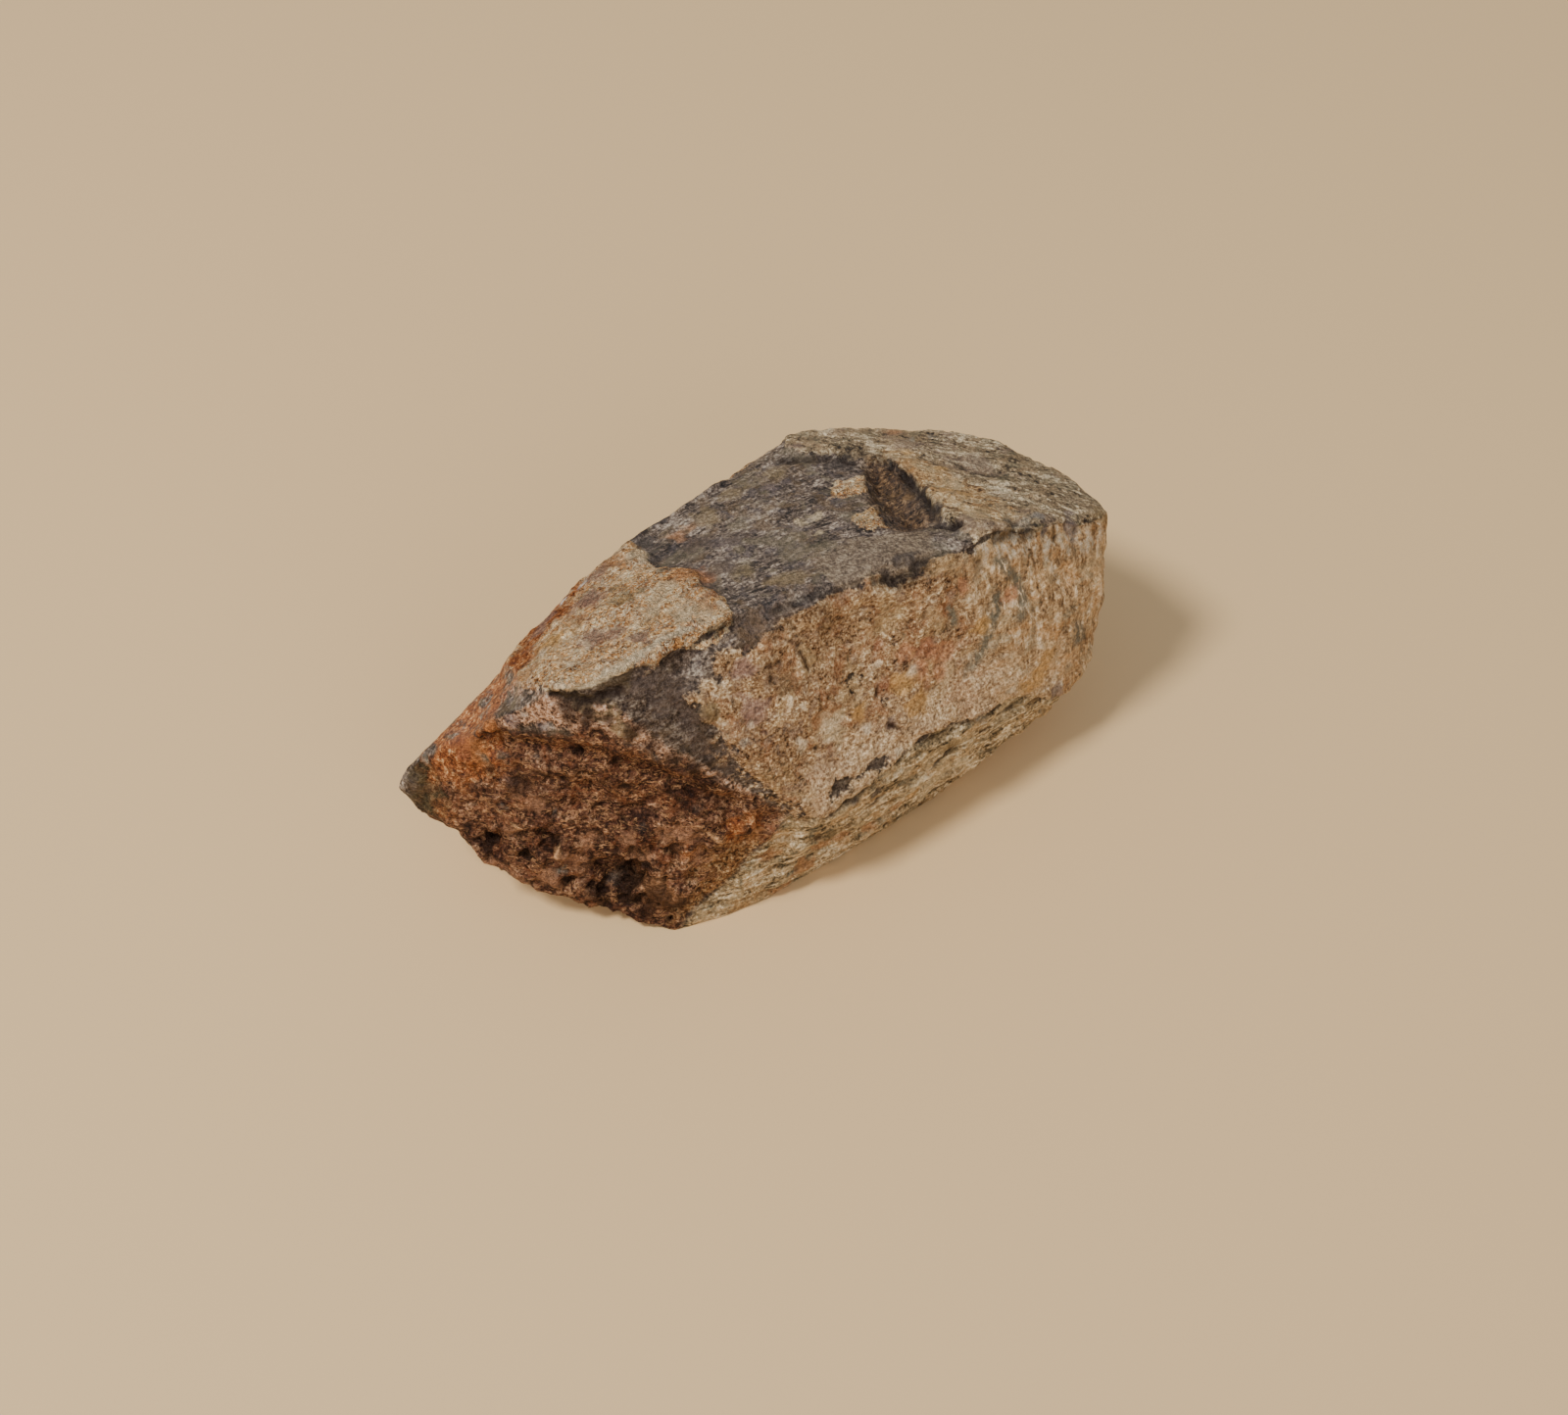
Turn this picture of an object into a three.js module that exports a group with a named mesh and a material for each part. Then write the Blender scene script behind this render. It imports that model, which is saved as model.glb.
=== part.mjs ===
// A hand-sized crystal of bismutotantalite: a blocky, heavy, lopsided crystal with flat worn faces,
// a broken and pitted end, and a pale crust that has flaked off in places.
// Units are millimetres. +Z is up, X runs along the crest, and the crystal lies on its small flat foot.
// The frame's origin is at the middle of the length and the width, at the height of the foot.
import * as THREE from "three";
import { ConvexGeometry } from "three/addons/geometries/ConvexGeometry.js";
import { ImprovedNoise } from "three/addons/math/ImprovedNoise.js";
import { mergeVertices } from "three/addons/utils/BufferGeometryUtils.js";

// Driving dimensions of the whole crystal
const LENGTH = 63.5;
const WIDTH = 33.5;
const HEIGHT = 27.6;

// Depths of the surface relief
const CRUST = 0.65; // thickness of the pale crust
const END_CRUST = 0.9; // thickness of the banded crust over the right end
const LIP = 0.8; // half the width of the slope at a crust's edge
const NOTCH = 1.3; // depth of the chip before the right end, which slopes down from its left side
const HOLLOW = 1.6; // how far the broken end is dished
const BAND = 0.28; // depth of the weathered layers
const LUMPS = 0.4; // height of the broad unevenness
const GRAINS = 0.2; // height of the small unevenness
const WEAR = 0.25; // how far the edges are rounded off
const FILL = 0.2; // makes up on the flat faces for what wear takes off

// Longest triangle side on plain faces, along relief, on the underside and on the foot
const PLAIN_SIDE = 2.4;
const FINE_SIDE = 1.4;
const HIDDEN_SIDE = 3.0;
const FOOT_SIDE = 5.0;

// Corners of the unworn crystal, as points (x, y, z)
const CREST = [
  [-20.2, -6.7, 25.2], [-15.1, -8.6, 26.6], [-10.3, -8.1, 27.2], [-1.8, -8.3, 27.6],
  [6.5, -8.5, 27.2], [16.7, -7.2, 25.8], [23.6, -7.5, 23.4], [30.4, -7.5, 20.0],
];
const FAR_RIM = [
  [-28.9, 1.7, 14.5], [-24.5, 1.4, 17.5], [-19.0, 3.4, 19.5], [-13.4, 6.0, 20.8],
  [-7.1, 7.9, 21.8], [-0.9, 9.6, 22.2], [6.0, 12.2, 22.0], [10.0, 13.6, 21.5],
  [15.0, 13.1, 20.5], [21.8, 11.2, 19.3], [27.1, 8.2, 18.6], [29.9, 2.8, 18.8],
  [31.4, -3.0, 19.6], [31.2, -6.3, 20.5],
];
const LEFT_TIP = [[-32.3, 1.9, 10.2], [-31.1, 1.8, 12.7], [-31.0, -0.5, 9.0]];
const BROKEN_END_LIP = [[-18.5, -9.9, 22.5], [-12.0, -13.8, 19.0], [-4.7, -16.3, 10.8]];
const BROKEN_END_BASE = [[-24.9, -8.7, 3.5], [-20.7, -11.3, 3.0], [-14.6, -15.1, 0.0]];
const FRONT_EDGE = [
  [-0.6, -16.7, 9.4], [4.4, -15.5, 11.2], [9.6, -14.5, 11.9], [18.2, -13.3, 10.6],
  [24.4, -11.8, 7.2], [26.9, -11.2, 7.2], [28.6, -9.4, 13.8],
];
const FRONT_BASE = [
  [-10.1, -15.7, 0.0], [-6.6, -15.7, 0.0], [2.4, -14.4, 0.0], [10.7, -13.1, 0.5],
  [18.5, -11.4, 2.0], [22.0, -11.0, 3.0], [25.1, -10.4, 4.5],
];
const BACK_EDGE = [
  [-6.7, 11.3, 10.5], [10.1, 16.7, 11.0], [22.4, 12.2, 9.5], [30.6, 1.8, 9.0], [31.7, -6.1, 10.0],
];
const UNDERSIDE = [[-18.2, 0.8, 4.0], [26.3, -2.2, 3.5], [12.1, 9.6, 3.0], [-4.5, 7.9, 3.5]];
const FOOT = [[-6.1, 1.4, 0.0], [5.1, 4.7, 0.0], [15.4, 0.6, 0.0], [17.1, -8.1, 0.0]];

// Outlines of the crust. A plan outline is in (x, y), and an elevation outline is in (x, z).
const LEFT_CRUST_PLAN = [
  [-20.2, -6.4], [-17.2, -8.3], [-15.1, -9.0], [-10.2, -8.4], [-6.1, -8.6], [-4.6, -7.6],
  [-4.4, -5.0], [-4.9, -2.5], [-4.3, -0.4], [-5.2, 1.9], [-6.8, 2.9], [-6.3, 6.6], [-7.0, 9.5],
  [-14.0, 8.0], [-20.0, 5.0], [-21.3, 1.6], [-21.0, -1.8],
];
const RIGHT_CRUST_PLAN = [
  [17.0, -7.3], [16.4, -3.5], [17.0, 0.1], [17.2, 4.1], [16.9, 7.1], [15.4, 8.0], [13.0, 9.5],
  [10.0, 12.5], [12.0, 18.0], [36.0, 18.0], [36.0, -10.0], [17.0, -10.0],
];
const FRONT_CRUST_ELEVATION = [
  [3.0, 27.3], [0.4, 26.9], [-3.2, 26.3], [-6.7, 26.3], [-7.9, 25.5], [-10.0, 24.6],
  [-10.6, 23.8], [-10.0, 21.9], [-8.7, 20.8], [-8.0, 19.6], [-6.7, 16.6], [-5.1, 13.7],
  [-2.9, 10.3], [-3.6, 7.0], [-5.0, 4.0], [-6.0, -2.0], [36.0, -2.0], [36.0, 29.0],
  [16.0, 29.0], [14.6, 26.2], [13.1, 26.1], [12.3, 25.4], [10.2, 25.1], [7.7, 26.0], [5.5, 26.7],
];
const BACK_CRUST_ELEVATION = [
  [-16.0, 21.5], [-14.2, 17.5], [-17.5, 14.0], [-13.5, 11.0], [-9.0, 9.5], [-5.5, 12.0],
  [-1.0, 14.0], [4.0, 12.0], [6.5, 7.5], [12.0, 5.0], [15.0, -2.0], [36.0, -2.0],
  [36.0, 26.0], [-10.0, 26.0],
];
const NOTCH_PLAN = [
  [15.5, 8.2], [12.6, 1.7], [12.3, -0.5], [11.8, -2.8], [13.0, -4.2], [15.3, -4.4],
  [16.4, -3.4], [16.7, 0.1], [17.0, 4.1], [16.8, 7.0],
];

// Pits and hollows of the broken end, as [centre, radius, depth], and its knobs, as
// [centre, radius, height]
const PITS = [
  [[-18.6, -12.1, 5.8], 2.6, 1.9],
  [[-23.3, -8.6, 9.6], 1.8, 1.2],
  [[-20.7, -10.0, 12.5], 1.3, 0.9],
  [[-19.9, -10.1, 14.9], 1.2, 0.7],
  [[-11.4, -15.0, 8.2], 1.4, 0.9],
  [[-26.6, -5.4, 8.2], 1.7, 0.9],
  [[-15.2, -13.5, 9.5], 1.1, 0.5],
];
const KNOBS = [
  [[-13.4, -13.4, 16.7], 1.9, 0.6],
  [[-7.7, -15.6, 10.2], 1.5, 0.6],
  [[-21.9, -9.6, 9.0], 1.2, 0.9],
  [[-16.6, -12.5, 10.4], 1.9, 0.7],
  [[-14.0, -14.4, 4.0], 2.3, 0.7],
  [[-22.4, -9.9, 5.4], 1.8, 0.6],
  [[-30.6, 0.8, 12.0], 2.4, 0.5],
];
// Worn dents elsewhere: the dished front face, the nick in the right end and the scooped lower left edge
const DENTS = [
  [[5.5, -10.8, 21.5], 7.5, 0.9],
  [[13.0, -12.6, 15.0], 6.0, 0.5],
  [[28.9, -9.4, 11.6], 2.6, 1.0],
  [[-28.6, -3.4, 8.0], 2.8, 0.5],
  [[-25.0, -1.2, 18.0], 3.5, 0.6],
  [[-14.0, 6.5, 9.0], 6.0, 1.0],
  [[16.5, 13.0, 8.0], 5.5, 1.1],
  [[4.0, 13.5, 15.0], 4.0, 0.7],
  [[-22.0, 1.0, 6.5], 4.0, 0.8],
];
// The groove under the lip of the broken end, as points along it, with its half width and depth
const GROOVE = [
  [-24.6, -4.0, 18.0], [-22.1, -6.9, 18.6], [-19.2, -9.9, 19.4], [-15.6, -12.0, 18.0],
  [-12.2, -14.0, 15.9], [-8.6, -15.2, 12.6],
];
const GROOVE_HALF_WIDTH = 1.7;
const GROOVE_DEPTH = 1.2;

const noise = new ImprovedNoise();
const toVector = ([x, y, z]) => new THREE.Vector3(x, y, z);
const smoothstep = THREE.MathUtils.smoothstep;

// Unworn crystal

function unwornCrystal() {
  const corners = [
    CREST, FAR_RIM, LEFT_TIP, BROKEN_END_LIP, BROKEN_END_BASE,
    FRONT_EDGE, FRONT_BASE, BACK_EDGE, UNDERSIDE, FOOT,
  ].flat().map(toVector);
  const hull = new ConvexGeometry(corners);
  hull.deleteAttribute("normal");
  return mergeVertices(hull, 1e-4);
}

const pointsOf = (geometry) => {
  const position = geometry.getAttribute("position");
  const corner = (_, i) => new THREE.Vector3().fromBufferAttribute(position, i);
  return Array.from({ length: position.count }, corner);
};

const facesOf = (geometry) => {
  const index = Array.from(geometry.index.array);
  return Array.from({ length: index.length / 3 }, (_, i) => index.slice(3 * i, 3 * i + 3));
};

// Where wear has left the surface near a point of the unworn crystal: the faces that meet there
// are blended, so an edge is rounded off. Returns the direction it looks in and how far it has sunk.
function wornSurface(p, planes) {
  const sum = new THREE.Vector3();
  let total = 0;
  for (const plane of planes) {
    const weight = Math.exp(plane.distanceToPoint(p) / WEAR);
    sum.addScaledVector(plane.normal, weight);
    total += weight;
  }
  return { normal: sum.normalize(), sunk: WEAR * Math.log(total) };
}

// Distance from (a, b) to a closed outline, positive inside it

function insideDistance(outline, a, b) {
  let nearest = Infinity;
  let inside = false;
  outline.forEach(([a1, b1], i) => {
    const [a0, b0] = outline[(i + outline.length - 1) % outline.length];
    const along = THREE.MathUtils.clamp(
      ((a - a0) * (a1 - a0) + (b - b0) * (b1 - b0)) / ((a1 - a0) ** 2 + (b1 - b0) ** 2), 0, 1,
    );
    nearest = Math.min(nearest, Math.hypot(a - a0 - along * (a1 - a0), b - b0 - along * (b1 - b0)));
    if (b0 > b !== b1 > b && a < a0 + ((b - b0) * (a1 - a0)) / (b1 - b0)) inside = !inside;
  });
  return inside ? nearest : -nearest;
}

// Outlines wander a little, as a flaked edge does
const wander = (p) => 0.5 * noise.noise(p.x / 3, p.y / 3, p.z / 3);

// How far a point lies inside each crust. The plan outlines belong to faces that look up,
// and the elevation outlines to faces that look to the front or the back.
function crustDistances(p, normal) {
  const up = normal.z > 0.62;
  const front = normal.y < -0.3 && !up;
  const back = normal.y > 0.3 && !up;
  return {
    left: up ? insideDistance(LEFT_CRUST_PLAN, p.x, p.y) + wander(p) : -9,
    right: up ? insideDistance(RIGHT_CRUST_PLAN, p.x, p.y) + wander(p) : -9,
    front: front ? insideDistance(FRONT_CRUST_ELEVATION, p.x, p.z) + wander(p) : -9,
    back: back ? insideDistance(BACK_CRUST_ELEVATION, p.x, p.z) + wander(p) : -9,
    notch: up ? insideDistance(NOTCH_PLAN, p.x, p.y) : -9,
  };
}

// The broken end is the steep face between the left tip and the front edge
function onBrokenEnd(p) {
  const along = (p.x + 31) * 0.78 + p.y * 0.62;
  return p.y < 1.5 && p.x < -3 && along < 10.5 && p.z < 22.5;
}

// Splitting of the faces into small triangles, finer where there is relief

function sideLimit(middle, normal) {
  if (middle.z < 0.05) return FOOT_SIDE;
  const nearRelief = Object.values(crustDistances(middle, normal)).some((d) => Math.abs(d) < 1.0);
  if (nearRelief || onBrokenEnd(middle)) return FINE_SIDE;
  return normal.z < -0.4 ? HIDDEN_SIDE : PLAIN_SIDE;
}

const sideName = (i, j) => (i < j ? `${i} ${j}` : `${j} ${i}`);
const sidesOf = ([a, b, c]) => [[a, b, c], [b, c, a], [c, a, b]];

function longestSide(points, face) {
  const lengths = sidesOf(face).map(([i, j]) => points[i].distanceTo(points[j]));
  return sidesOf(face)[lengths.indexOf(Math.max(...lengths))];
}

// The sides to split: all that are too long, and the longest side of each triangle that has one of them
function sidesToSplit(points, faces, isTooLong) {
  const marked = new Set();
  for (const [i, j] of faces.flatMap(sidesOf)) {
    if (isTooLong(i, j)) marked.add(sideName(i, j));
  }
  let before = -1;
  while (marked.size !== before) {
    before = marked.size;
    for (const face of faces) {
      if (!sidesOf(face).some(([i, j]) => marked.has(sideName(i, j)))) continue;
      const [i, j] = longestSide(points, face);
      marked.add(sideName(i, j));
    }
  }
  return marked;
}

function refine(points, faces, planes) {
  const limits = new Map();
  const isTooLong = (i, j) => {
    const name = sideName(i, j);
    if (!limits.has(name)) {
      const middle = points[i].clone().lerp(points[j], 0.5);
      limits.set(name, sideLimit(middle, wornSurface(middle, planes).normal));
    }
    return points[i].distanceTo(points[j]) > limits.get(name);
  };
  const middles = new Map();
  const middleOf = (i, j) => {
    const name = sideName(i, j);
    if (!middles.has(name)) middles.set(name, points.push(points[i].clone().lerp(points[j], 0.5)) - 1);
    return middles.get(name);
  };
  const split = (face, marked) => {
    const [i, j, k] = longestSide(points, face);
    if (!marked.has(sideName(i, j))) return [face];
    const m = middleOf(i, j);
    const nearI = marked.has(sideName(k, i))
      ? [[m, k, middleOf(k, i)], [m, middleOf(k, i), i]]
      : [[m, k, i]];
    const nearJ = marked.has(sideName(j, k))
      ? [[m, j, middleOf(j, k)], [m, middleOf(j, k), k]]
      : [[m, j, k]];
    return [...nearI, ...nearJ];
  };
  let marked = sidesToSplit(points, faces, isTooLong);
  while (marked.size > 0) {
    faces = faces.flatMap((face) => split(face, marked));
    marked = sidesToSplit(points, faces, isTooLong);
  }
  return faces;
}

// Relief, as heights along the face's own direction

function distanceToPath(p, path) {
  let nearest = Infinity;
  for (let i = 1; i < path.length; i += 1) {
    const piece = new THREE.Line3(toVector(path[i - 1]), toVector(path[i]));
    const close = piece.closestPointToPoint(p, true, new THREE.Vector3());
    nearest = Math.min(nearest, close.distanceTo(p));
  }
  return nearest;
}

const bowl = (distance, radius) => (distance < radius ? (1 - (distance / radius) ** 2) ** 2 : 0);

// Weathered layers: fine ledges along a direction, as on the edge of a worn book
function layers(p, across, spacing) {
  const wide = noise.noise(p.x / 9, p.y / 9, p.z / 9);
  const narrow = noise.noise(p.x / 2.6, p.y / 2.6, p.z / 2.6);
  const bend = 0.8 * wide + 0.25 * narrow;
  const turn = (p.dot(across) + bend) / spacing;
  return Math.abs(2 * (turn - Math.floor(turn)) - 1) * 2 - 1;
}

const LAYERS_ON_FRONT_EDGE = new THREE.Vector3(-0.1, 0.15, 0.98);
const LAYERS_ON_RIGHT_END = new THREE.Vector3(0.63, 0.7, 0.33);

function relief(p, normal) {
  const d = crustDistances(p, normal);
  const step = (distance) => smoothstep(distance, -LIP, LIP);
  let height = CRUST * Math.max(step(d.left), step(d.front), step(d.back)) + END_CRUST * step(d.right);
  const scoop = smoothstep(p.x - 0.1 * p.y, 11.6, 15.6) * (1 + 0.5 * noise.noise(p.x / 1.7, p.y / 1.7, 3));
  height -= NOTCH * smoothstep(d.notch, -0.2, 1.8) * scoop;
  for (const [centre, radius, depth] of [...PITS, ...DENTS]) {
    height -= depth * bowl(p.distanceTo(toVector(centre)), radius);
  }
  for (const [centre, radius, rise] of KNOBS) {
    height += rise * bowl(p.distanceTo(toVector(centre)), radius);
  }
  if (onBrokenEnd(p)) {
    height -= HOLLOW * bowl(Math.hypot((p.x + 18) / 1.5, p.z - 14.0), 6.5);
    height -= GROOVE_DEPTH * bowl(distanceToPath(p, GROOVE), GROOVE_HALF_WIDTH);
    height += 0.35 * noise.noise(p.x / 1.6, p.y / 1.6, p.z / 1.6);
  }
  if (normal.z > 0.8 && d.right > 0) height += BAND * layers(p, LAYERS_ON_RIGHT_END, 3.1);
  if (normal.y < -0.5 && normal.z < 0.12 && p.x > -6) height += BAND * layers(p, LAYERS_ON_FRONT_EDGE, 3.3);
  if (normal.y > 0.5 && p.z < 12) height += BAND * layers(p, LAYERS_ON_FRONT_EDGE, 3.9);
  height += LUMPS * noise.noise(p.x / 6.5, p.y / 6.5, p.z / 6.5);
  height += GRAINS * noise.noise(p.x / 2.3 + 7, p.y / 2.3, p.z / 2.3);
  return height + FILL - CRUST / 2;
}

// Worn crystal

function wornGeometry() {
  const unworn = unwornCrystal();
  const points = pointsOf(unworn);
  const planes = facesOf(unworn).map(([a, b, c]) => {
    return new THREE.Plane().setFromCoplanarPoints(points[a], points[b], points[c]);
  });
  const faces = refine(points, facesOf(unworn), planes);
  for (const p of points) {
    const { normal, sunk } = wornSurface(p, planes);
    const aboveFoot = smoothstep(p.z, 0, 2.5);
    p.addScaledVector(normal, (relief(p, normal) - sunk) * aboveFoot);
    p.z = Math.max(p.z, 0);
  }
  const geometry = new THREE.BufferGeometry().setFromPoints(points);
  geometry.setIndex(faces.flat());
  return geometry;
}

// Brings the worn crystal to its driving dimensions, centred over the origin and with its foot at height 0
function fitToSize(geometry) {
  geometry.computeBoundingBox();
  const { min, max } = geometry.boundingBox;
  const size = max.clone().sub(min);
  geometry.translate(-(min.x + max.x) / 2, -(min.y + max.y) / 2, -min.z);
  geometry.scale(LENGTH / size.x, WIDTH / size.y, HEIGHT / size.z);
  geometry.computeVertexNormals();
  return geometry;
}

const crystal = new THREE.Mesh(
  fitToSize(wornGeometry()),
  new THREE.MeshStandardMaterial({ color: 0x8c6f55, roughness: 0.85, metalness: 0.05 }),
);
crystal.name = "crystal";

const specimen = new THREE.Group();
specimen.add(crystal);

export default specimen;
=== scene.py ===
# %% [markdown]
# # A bismutotantalite crystal
#
# The real thing is a heavy, blocky crystal a little over 6 cm long. Its heart is a dark grey-brown
# mineral with a dull metallic look. A pale crust has grown over it and flaked off in places, the left
# end is broken, pitted and rusty, and the right end and the lower front show thin weathered layers.
# It is one piece, so the scene has one object for it. All the work is in its surface.

import math

import bpy
import numpy as np
from mathutils import Matrix, Vector, noise


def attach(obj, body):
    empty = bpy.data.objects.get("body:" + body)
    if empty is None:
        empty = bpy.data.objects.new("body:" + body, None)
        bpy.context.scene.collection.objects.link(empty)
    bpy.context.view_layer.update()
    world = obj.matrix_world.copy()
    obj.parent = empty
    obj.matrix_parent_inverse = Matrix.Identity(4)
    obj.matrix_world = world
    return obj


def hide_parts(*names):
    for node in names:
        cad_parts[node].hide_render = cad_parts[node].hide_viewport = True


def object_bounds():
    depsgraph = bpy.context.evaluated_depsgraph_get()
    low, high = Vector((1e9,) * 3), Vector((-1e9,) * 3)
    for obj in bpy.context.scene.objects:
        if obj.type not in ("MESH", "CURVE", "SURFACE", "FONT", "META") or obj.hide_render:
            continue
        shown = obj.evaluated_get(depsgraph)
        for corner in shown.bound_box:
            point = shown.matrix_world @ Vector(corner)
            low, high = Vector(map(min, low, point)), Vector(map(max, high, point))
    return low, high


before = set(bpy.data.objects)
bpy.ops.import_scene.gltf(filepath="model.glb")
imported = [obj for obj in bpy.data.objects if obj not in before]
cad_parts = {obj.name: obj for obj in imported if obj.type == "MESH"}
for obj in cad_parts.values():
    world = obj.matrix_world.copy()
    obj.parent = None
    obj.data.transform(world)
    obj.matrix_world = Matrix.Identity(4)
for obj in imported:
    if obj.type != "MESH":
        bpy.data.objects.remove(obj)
MM = 0.001
solid_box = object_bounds()
print("solid, mm:", [[round(c / MM, 1) for c in corner] for corner in solid_box])


def srgb(red, green, blue):
    """A colour read from a screen, 0 to 255, as the linear light that a shader wants."""
    parts = [c / 255 for c in (red, green, blue)]
    return tuple(c / 12.92 if c <= 0.04045 else ((c + 0.055) / 1.055) ** 2.4 for c in parts) + (1.0,)


# %% [markdown]
# ## A fine skin over the solid
#
# The solid has the crystal's true form, but its triangles are over a millimetre long, too coarse for
# crust edges and pits. A copy could be subdivided, but then the long triangles would still show as
# facets. Voxel remeshing gives small even faces everywhere instead, so each tenth of a millimetre
# of relief can be shaped in the same way on every side. The copy is merged first, because the
# solid's mesh is made of loose triangles.

# %% Copy, merge and remesh
VOXEL = 0.28 * MM

bpy.ops.object.select_all(action="DESELECT")
stone = bpy.data.objects.new("stone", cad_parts["crystal"].data.copy())
bpy.context.scene.collection.objects.link(stone)
stone.select_set(True)
bpy.context.view_layer.objects.active = stone
bpy.ops.object.mode_set(mode="EDIT")
bpy.ops.mesh.select_all(action="SELECT")
bpy.ops.mesh.remove_doubles(threshold=0.002 * MM)
bpy.ops.object.mode_set(mode="OBJECT")
stone.data.remesh_voxel_size = VOXEL
bpy.ops.object.voxel_remesh()
print("skin vertices:", len(stone.data.vertices))

# %% Take off the stair steps that voxels leave
soften = stone.modifiers.new("soften", "SMOOTH")
soften.factor = 0.5
soften.iterations = 3
bpy.ops.object.modifier_apply(modifier=soften.name)
print("smoothed skin, mm:", [round(side / MM, 1) for side in stone.dimensions])


# %% [markdown]
# ## Where each kind of surface lies
#
# The zones have outlines that wander over the faces: the crust on the top left, the tan crust of the
# steep front, the layered right end, and so on. They could be painted by hand, but an outline given
# as a few points can be checked and moved. Each outline is drawn in the plan (x, y) for the faces that
# look up, or in the front elevation (x, z) for the steep ones. For every vertex the script works out
# how far inside each outline it lies, in millimetres, and that number drives both relief and colour.

# %% Outlines in millimetres, with a border that two zones share written once
TOP_LEFT_CRUST = [
    (-20.2, -6.4), (-17.2, -8.3), (-15.1, -9.0), (-10.2, -8.4), (-6.1, -8.8), (-4.6, -7.8),
    (-4.4, -5.0), (-4.9, -2.5), (-4.3, -0.4), (-5.2, 1.9), (-6.8, 2.9), (-6.3, 6.6), (-7.0, 9.5),
    (-14.0, 8.0), (-20.0, 5.0), (-21.3, 1.6), (-21.0, -1.8),
]
CREAM_FLAKES = [
    [(10.4, 5.1), (11.9, 5.7), (13.8, 5.2), (13.0, 3.1), (11.2, 2.6), (9.7, 2.9)],
    [(8.7, -1.5), (10.2, -0.2), (12.0, -0.2), (11.8, -2.8), (10.1, -2.6)],
]
RIGHT_END = [
    (17.0, -7.3), (16.4, -3.5), (17.0, 0.1), (17.2, 4.1), (16.9, 7.1), (15.4, 8.0), (13.0, 9.5),
    (10.0, 12.5), (12.0, 18.0), (36.0, 18.0), (36.0, -10.0), (17.0, -10.0),
]
NOTCH = [
    (15.5, 8.2), (12.6, 1.7), (12.3, -0.5), (11.8, -2.8), (13.0, -4.2), (15.3, -4.4),
    (16.4, -3.4), (16.7, 0.1), (17.0, 4.1), (16.8, 7.0),
]
RUST_BAND = [
    (-29.5, 3.0), (-24.5, 3.5), (-19.0, 6.0), (-13.6, 8.0), (-11.8, 5.6), (-16.8, 2.1),
    (-21.7, -1.3), (-24.9, -3.0), (-28.6, -1.2),
]
CRUST_FOOT = [
    (-2.9, 10.3), (-0.6, 9.4), (4.4, 11.0), (9.6, 11.8), (14.5, 10.8), (19.0, 10.1), (24.7, 6.1),
    (26.9, 7.2), (36.0, 4.0),
]
FRONT_CRUST = [
    (3.0, 27.3), (0.4, 26.9), (-3.2, 26.3), (-6.7, 26.3), (-7.9, 25.5), (-10.0, 24.6),
    (-10.6, 23.8), (-10.0, 21.9), (-8.7, 20.8), (-8.0, 19.6), (-6.7, 16.6), (-5.1, 13.7),
] + CRUST_FOOT + [
    (36.0, 29.0), (16.0, 29.0), (14.6, 26.2), (13.1, 26.1), (12.3, 25.4), (10.2, 25.1),
    (7.7, 26.0), (5.5, 26.7),
]
FRONT_DARK_SPOTS = [
    [(-0.3, 11.3), (0.4, 12.7), (2.1, 12.1), (5.5, 12.4), (4.9, 11.5), (3.0, 11.6), (1.1, 11.2)],
    [(-4.8, 12.0), (-4.4, 12.6), (-3.4, 11.9), (-2.6, 10.7), (-3.4, 10.3), (-4.8, 11.1)],
]
BROKEN_RIM = [
    (-26.9, 16.8), (-24.6, 19.1), (-21.4, 21.2), (-18.5, 22.5), (-15.2, 20.8), (-12.0, 19.0),
    (-8.4, 15.1), (-4.7, 10.8),
]
BROKEN_FOOT = [(-5.6, 8.3), (-7.8, 6.0), (-10.5, 3.2), (-13.7, 0.6), (-15.5, -3.0)]
BROKEN_END = [(-33.0, 9.0), (-29.6, 14.0)] + BROKEN_RIM + BROKEN_FOOT + [(-34.0, -3.0)]
LOWER_FRONT = [(-4.7, 10.8)] + CRUST_FOOT + [(36.0, -3.0)] + BROKEN_FOOT[::-1]
SHELF = [(-28.0, 15.6)] + BROKEN_RIM + [
    (-5.8, 12.0), (-7.6, 14.9), (-9.0, 16.6), (-11.1, 18.8), (-13.1, 20.7), (-14.7, 22.9),
    (-15.9, 24.4), (-17.8, 24.5), (-20.3, 24.4), (-23.0, 23.0), (-27.0, 18.5),
]
SMOOTH_FLAKE = [
    (5.5, -3.9), (9.5, -3.4), (12.5, -4.2), (14.5, -5.3), (13.5, -7.5), (12.5, -8.8), (9.0, -9.2),
    (6.3, -9.2), (4.5, -8.3), (3.8, -6.0),
]
CREAM_BANDS = [
    (17.0, 8.4), (17.0, 2.2), (17.2, -3.0), (18.5, -6.5), (23.0, -6.6), (22.0, -2.7), (20.7, 2.2),
    (19.0, 7.0),
]
OLIVE_CRUST = [
    (-20.0, 24.9), (-17.7, 25.0), (-15.3, 24.6), (-15.5, 23.1), (-14.4, 22.3), (-14.9, 21.4),
    (-16.3, 22.2), (-17.2, 23.1), (-18.5, 23.8),
]
BACK_CRUST = [
    (-16.0, 21.5), (-14.2, 17.5), (-17.5, 14.0), (-13.5, 11.0), (-9.0, 9.5), (-5.5, 12.0),
    (-1.0, 14.0), (4.0, 12.0), (6.5, 7.5), (12.0, 5.0), (15.0, -2.0), (36.0, -2.0),
    (36.0, 26.0), (-10.0, 26.0),
]

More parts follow.
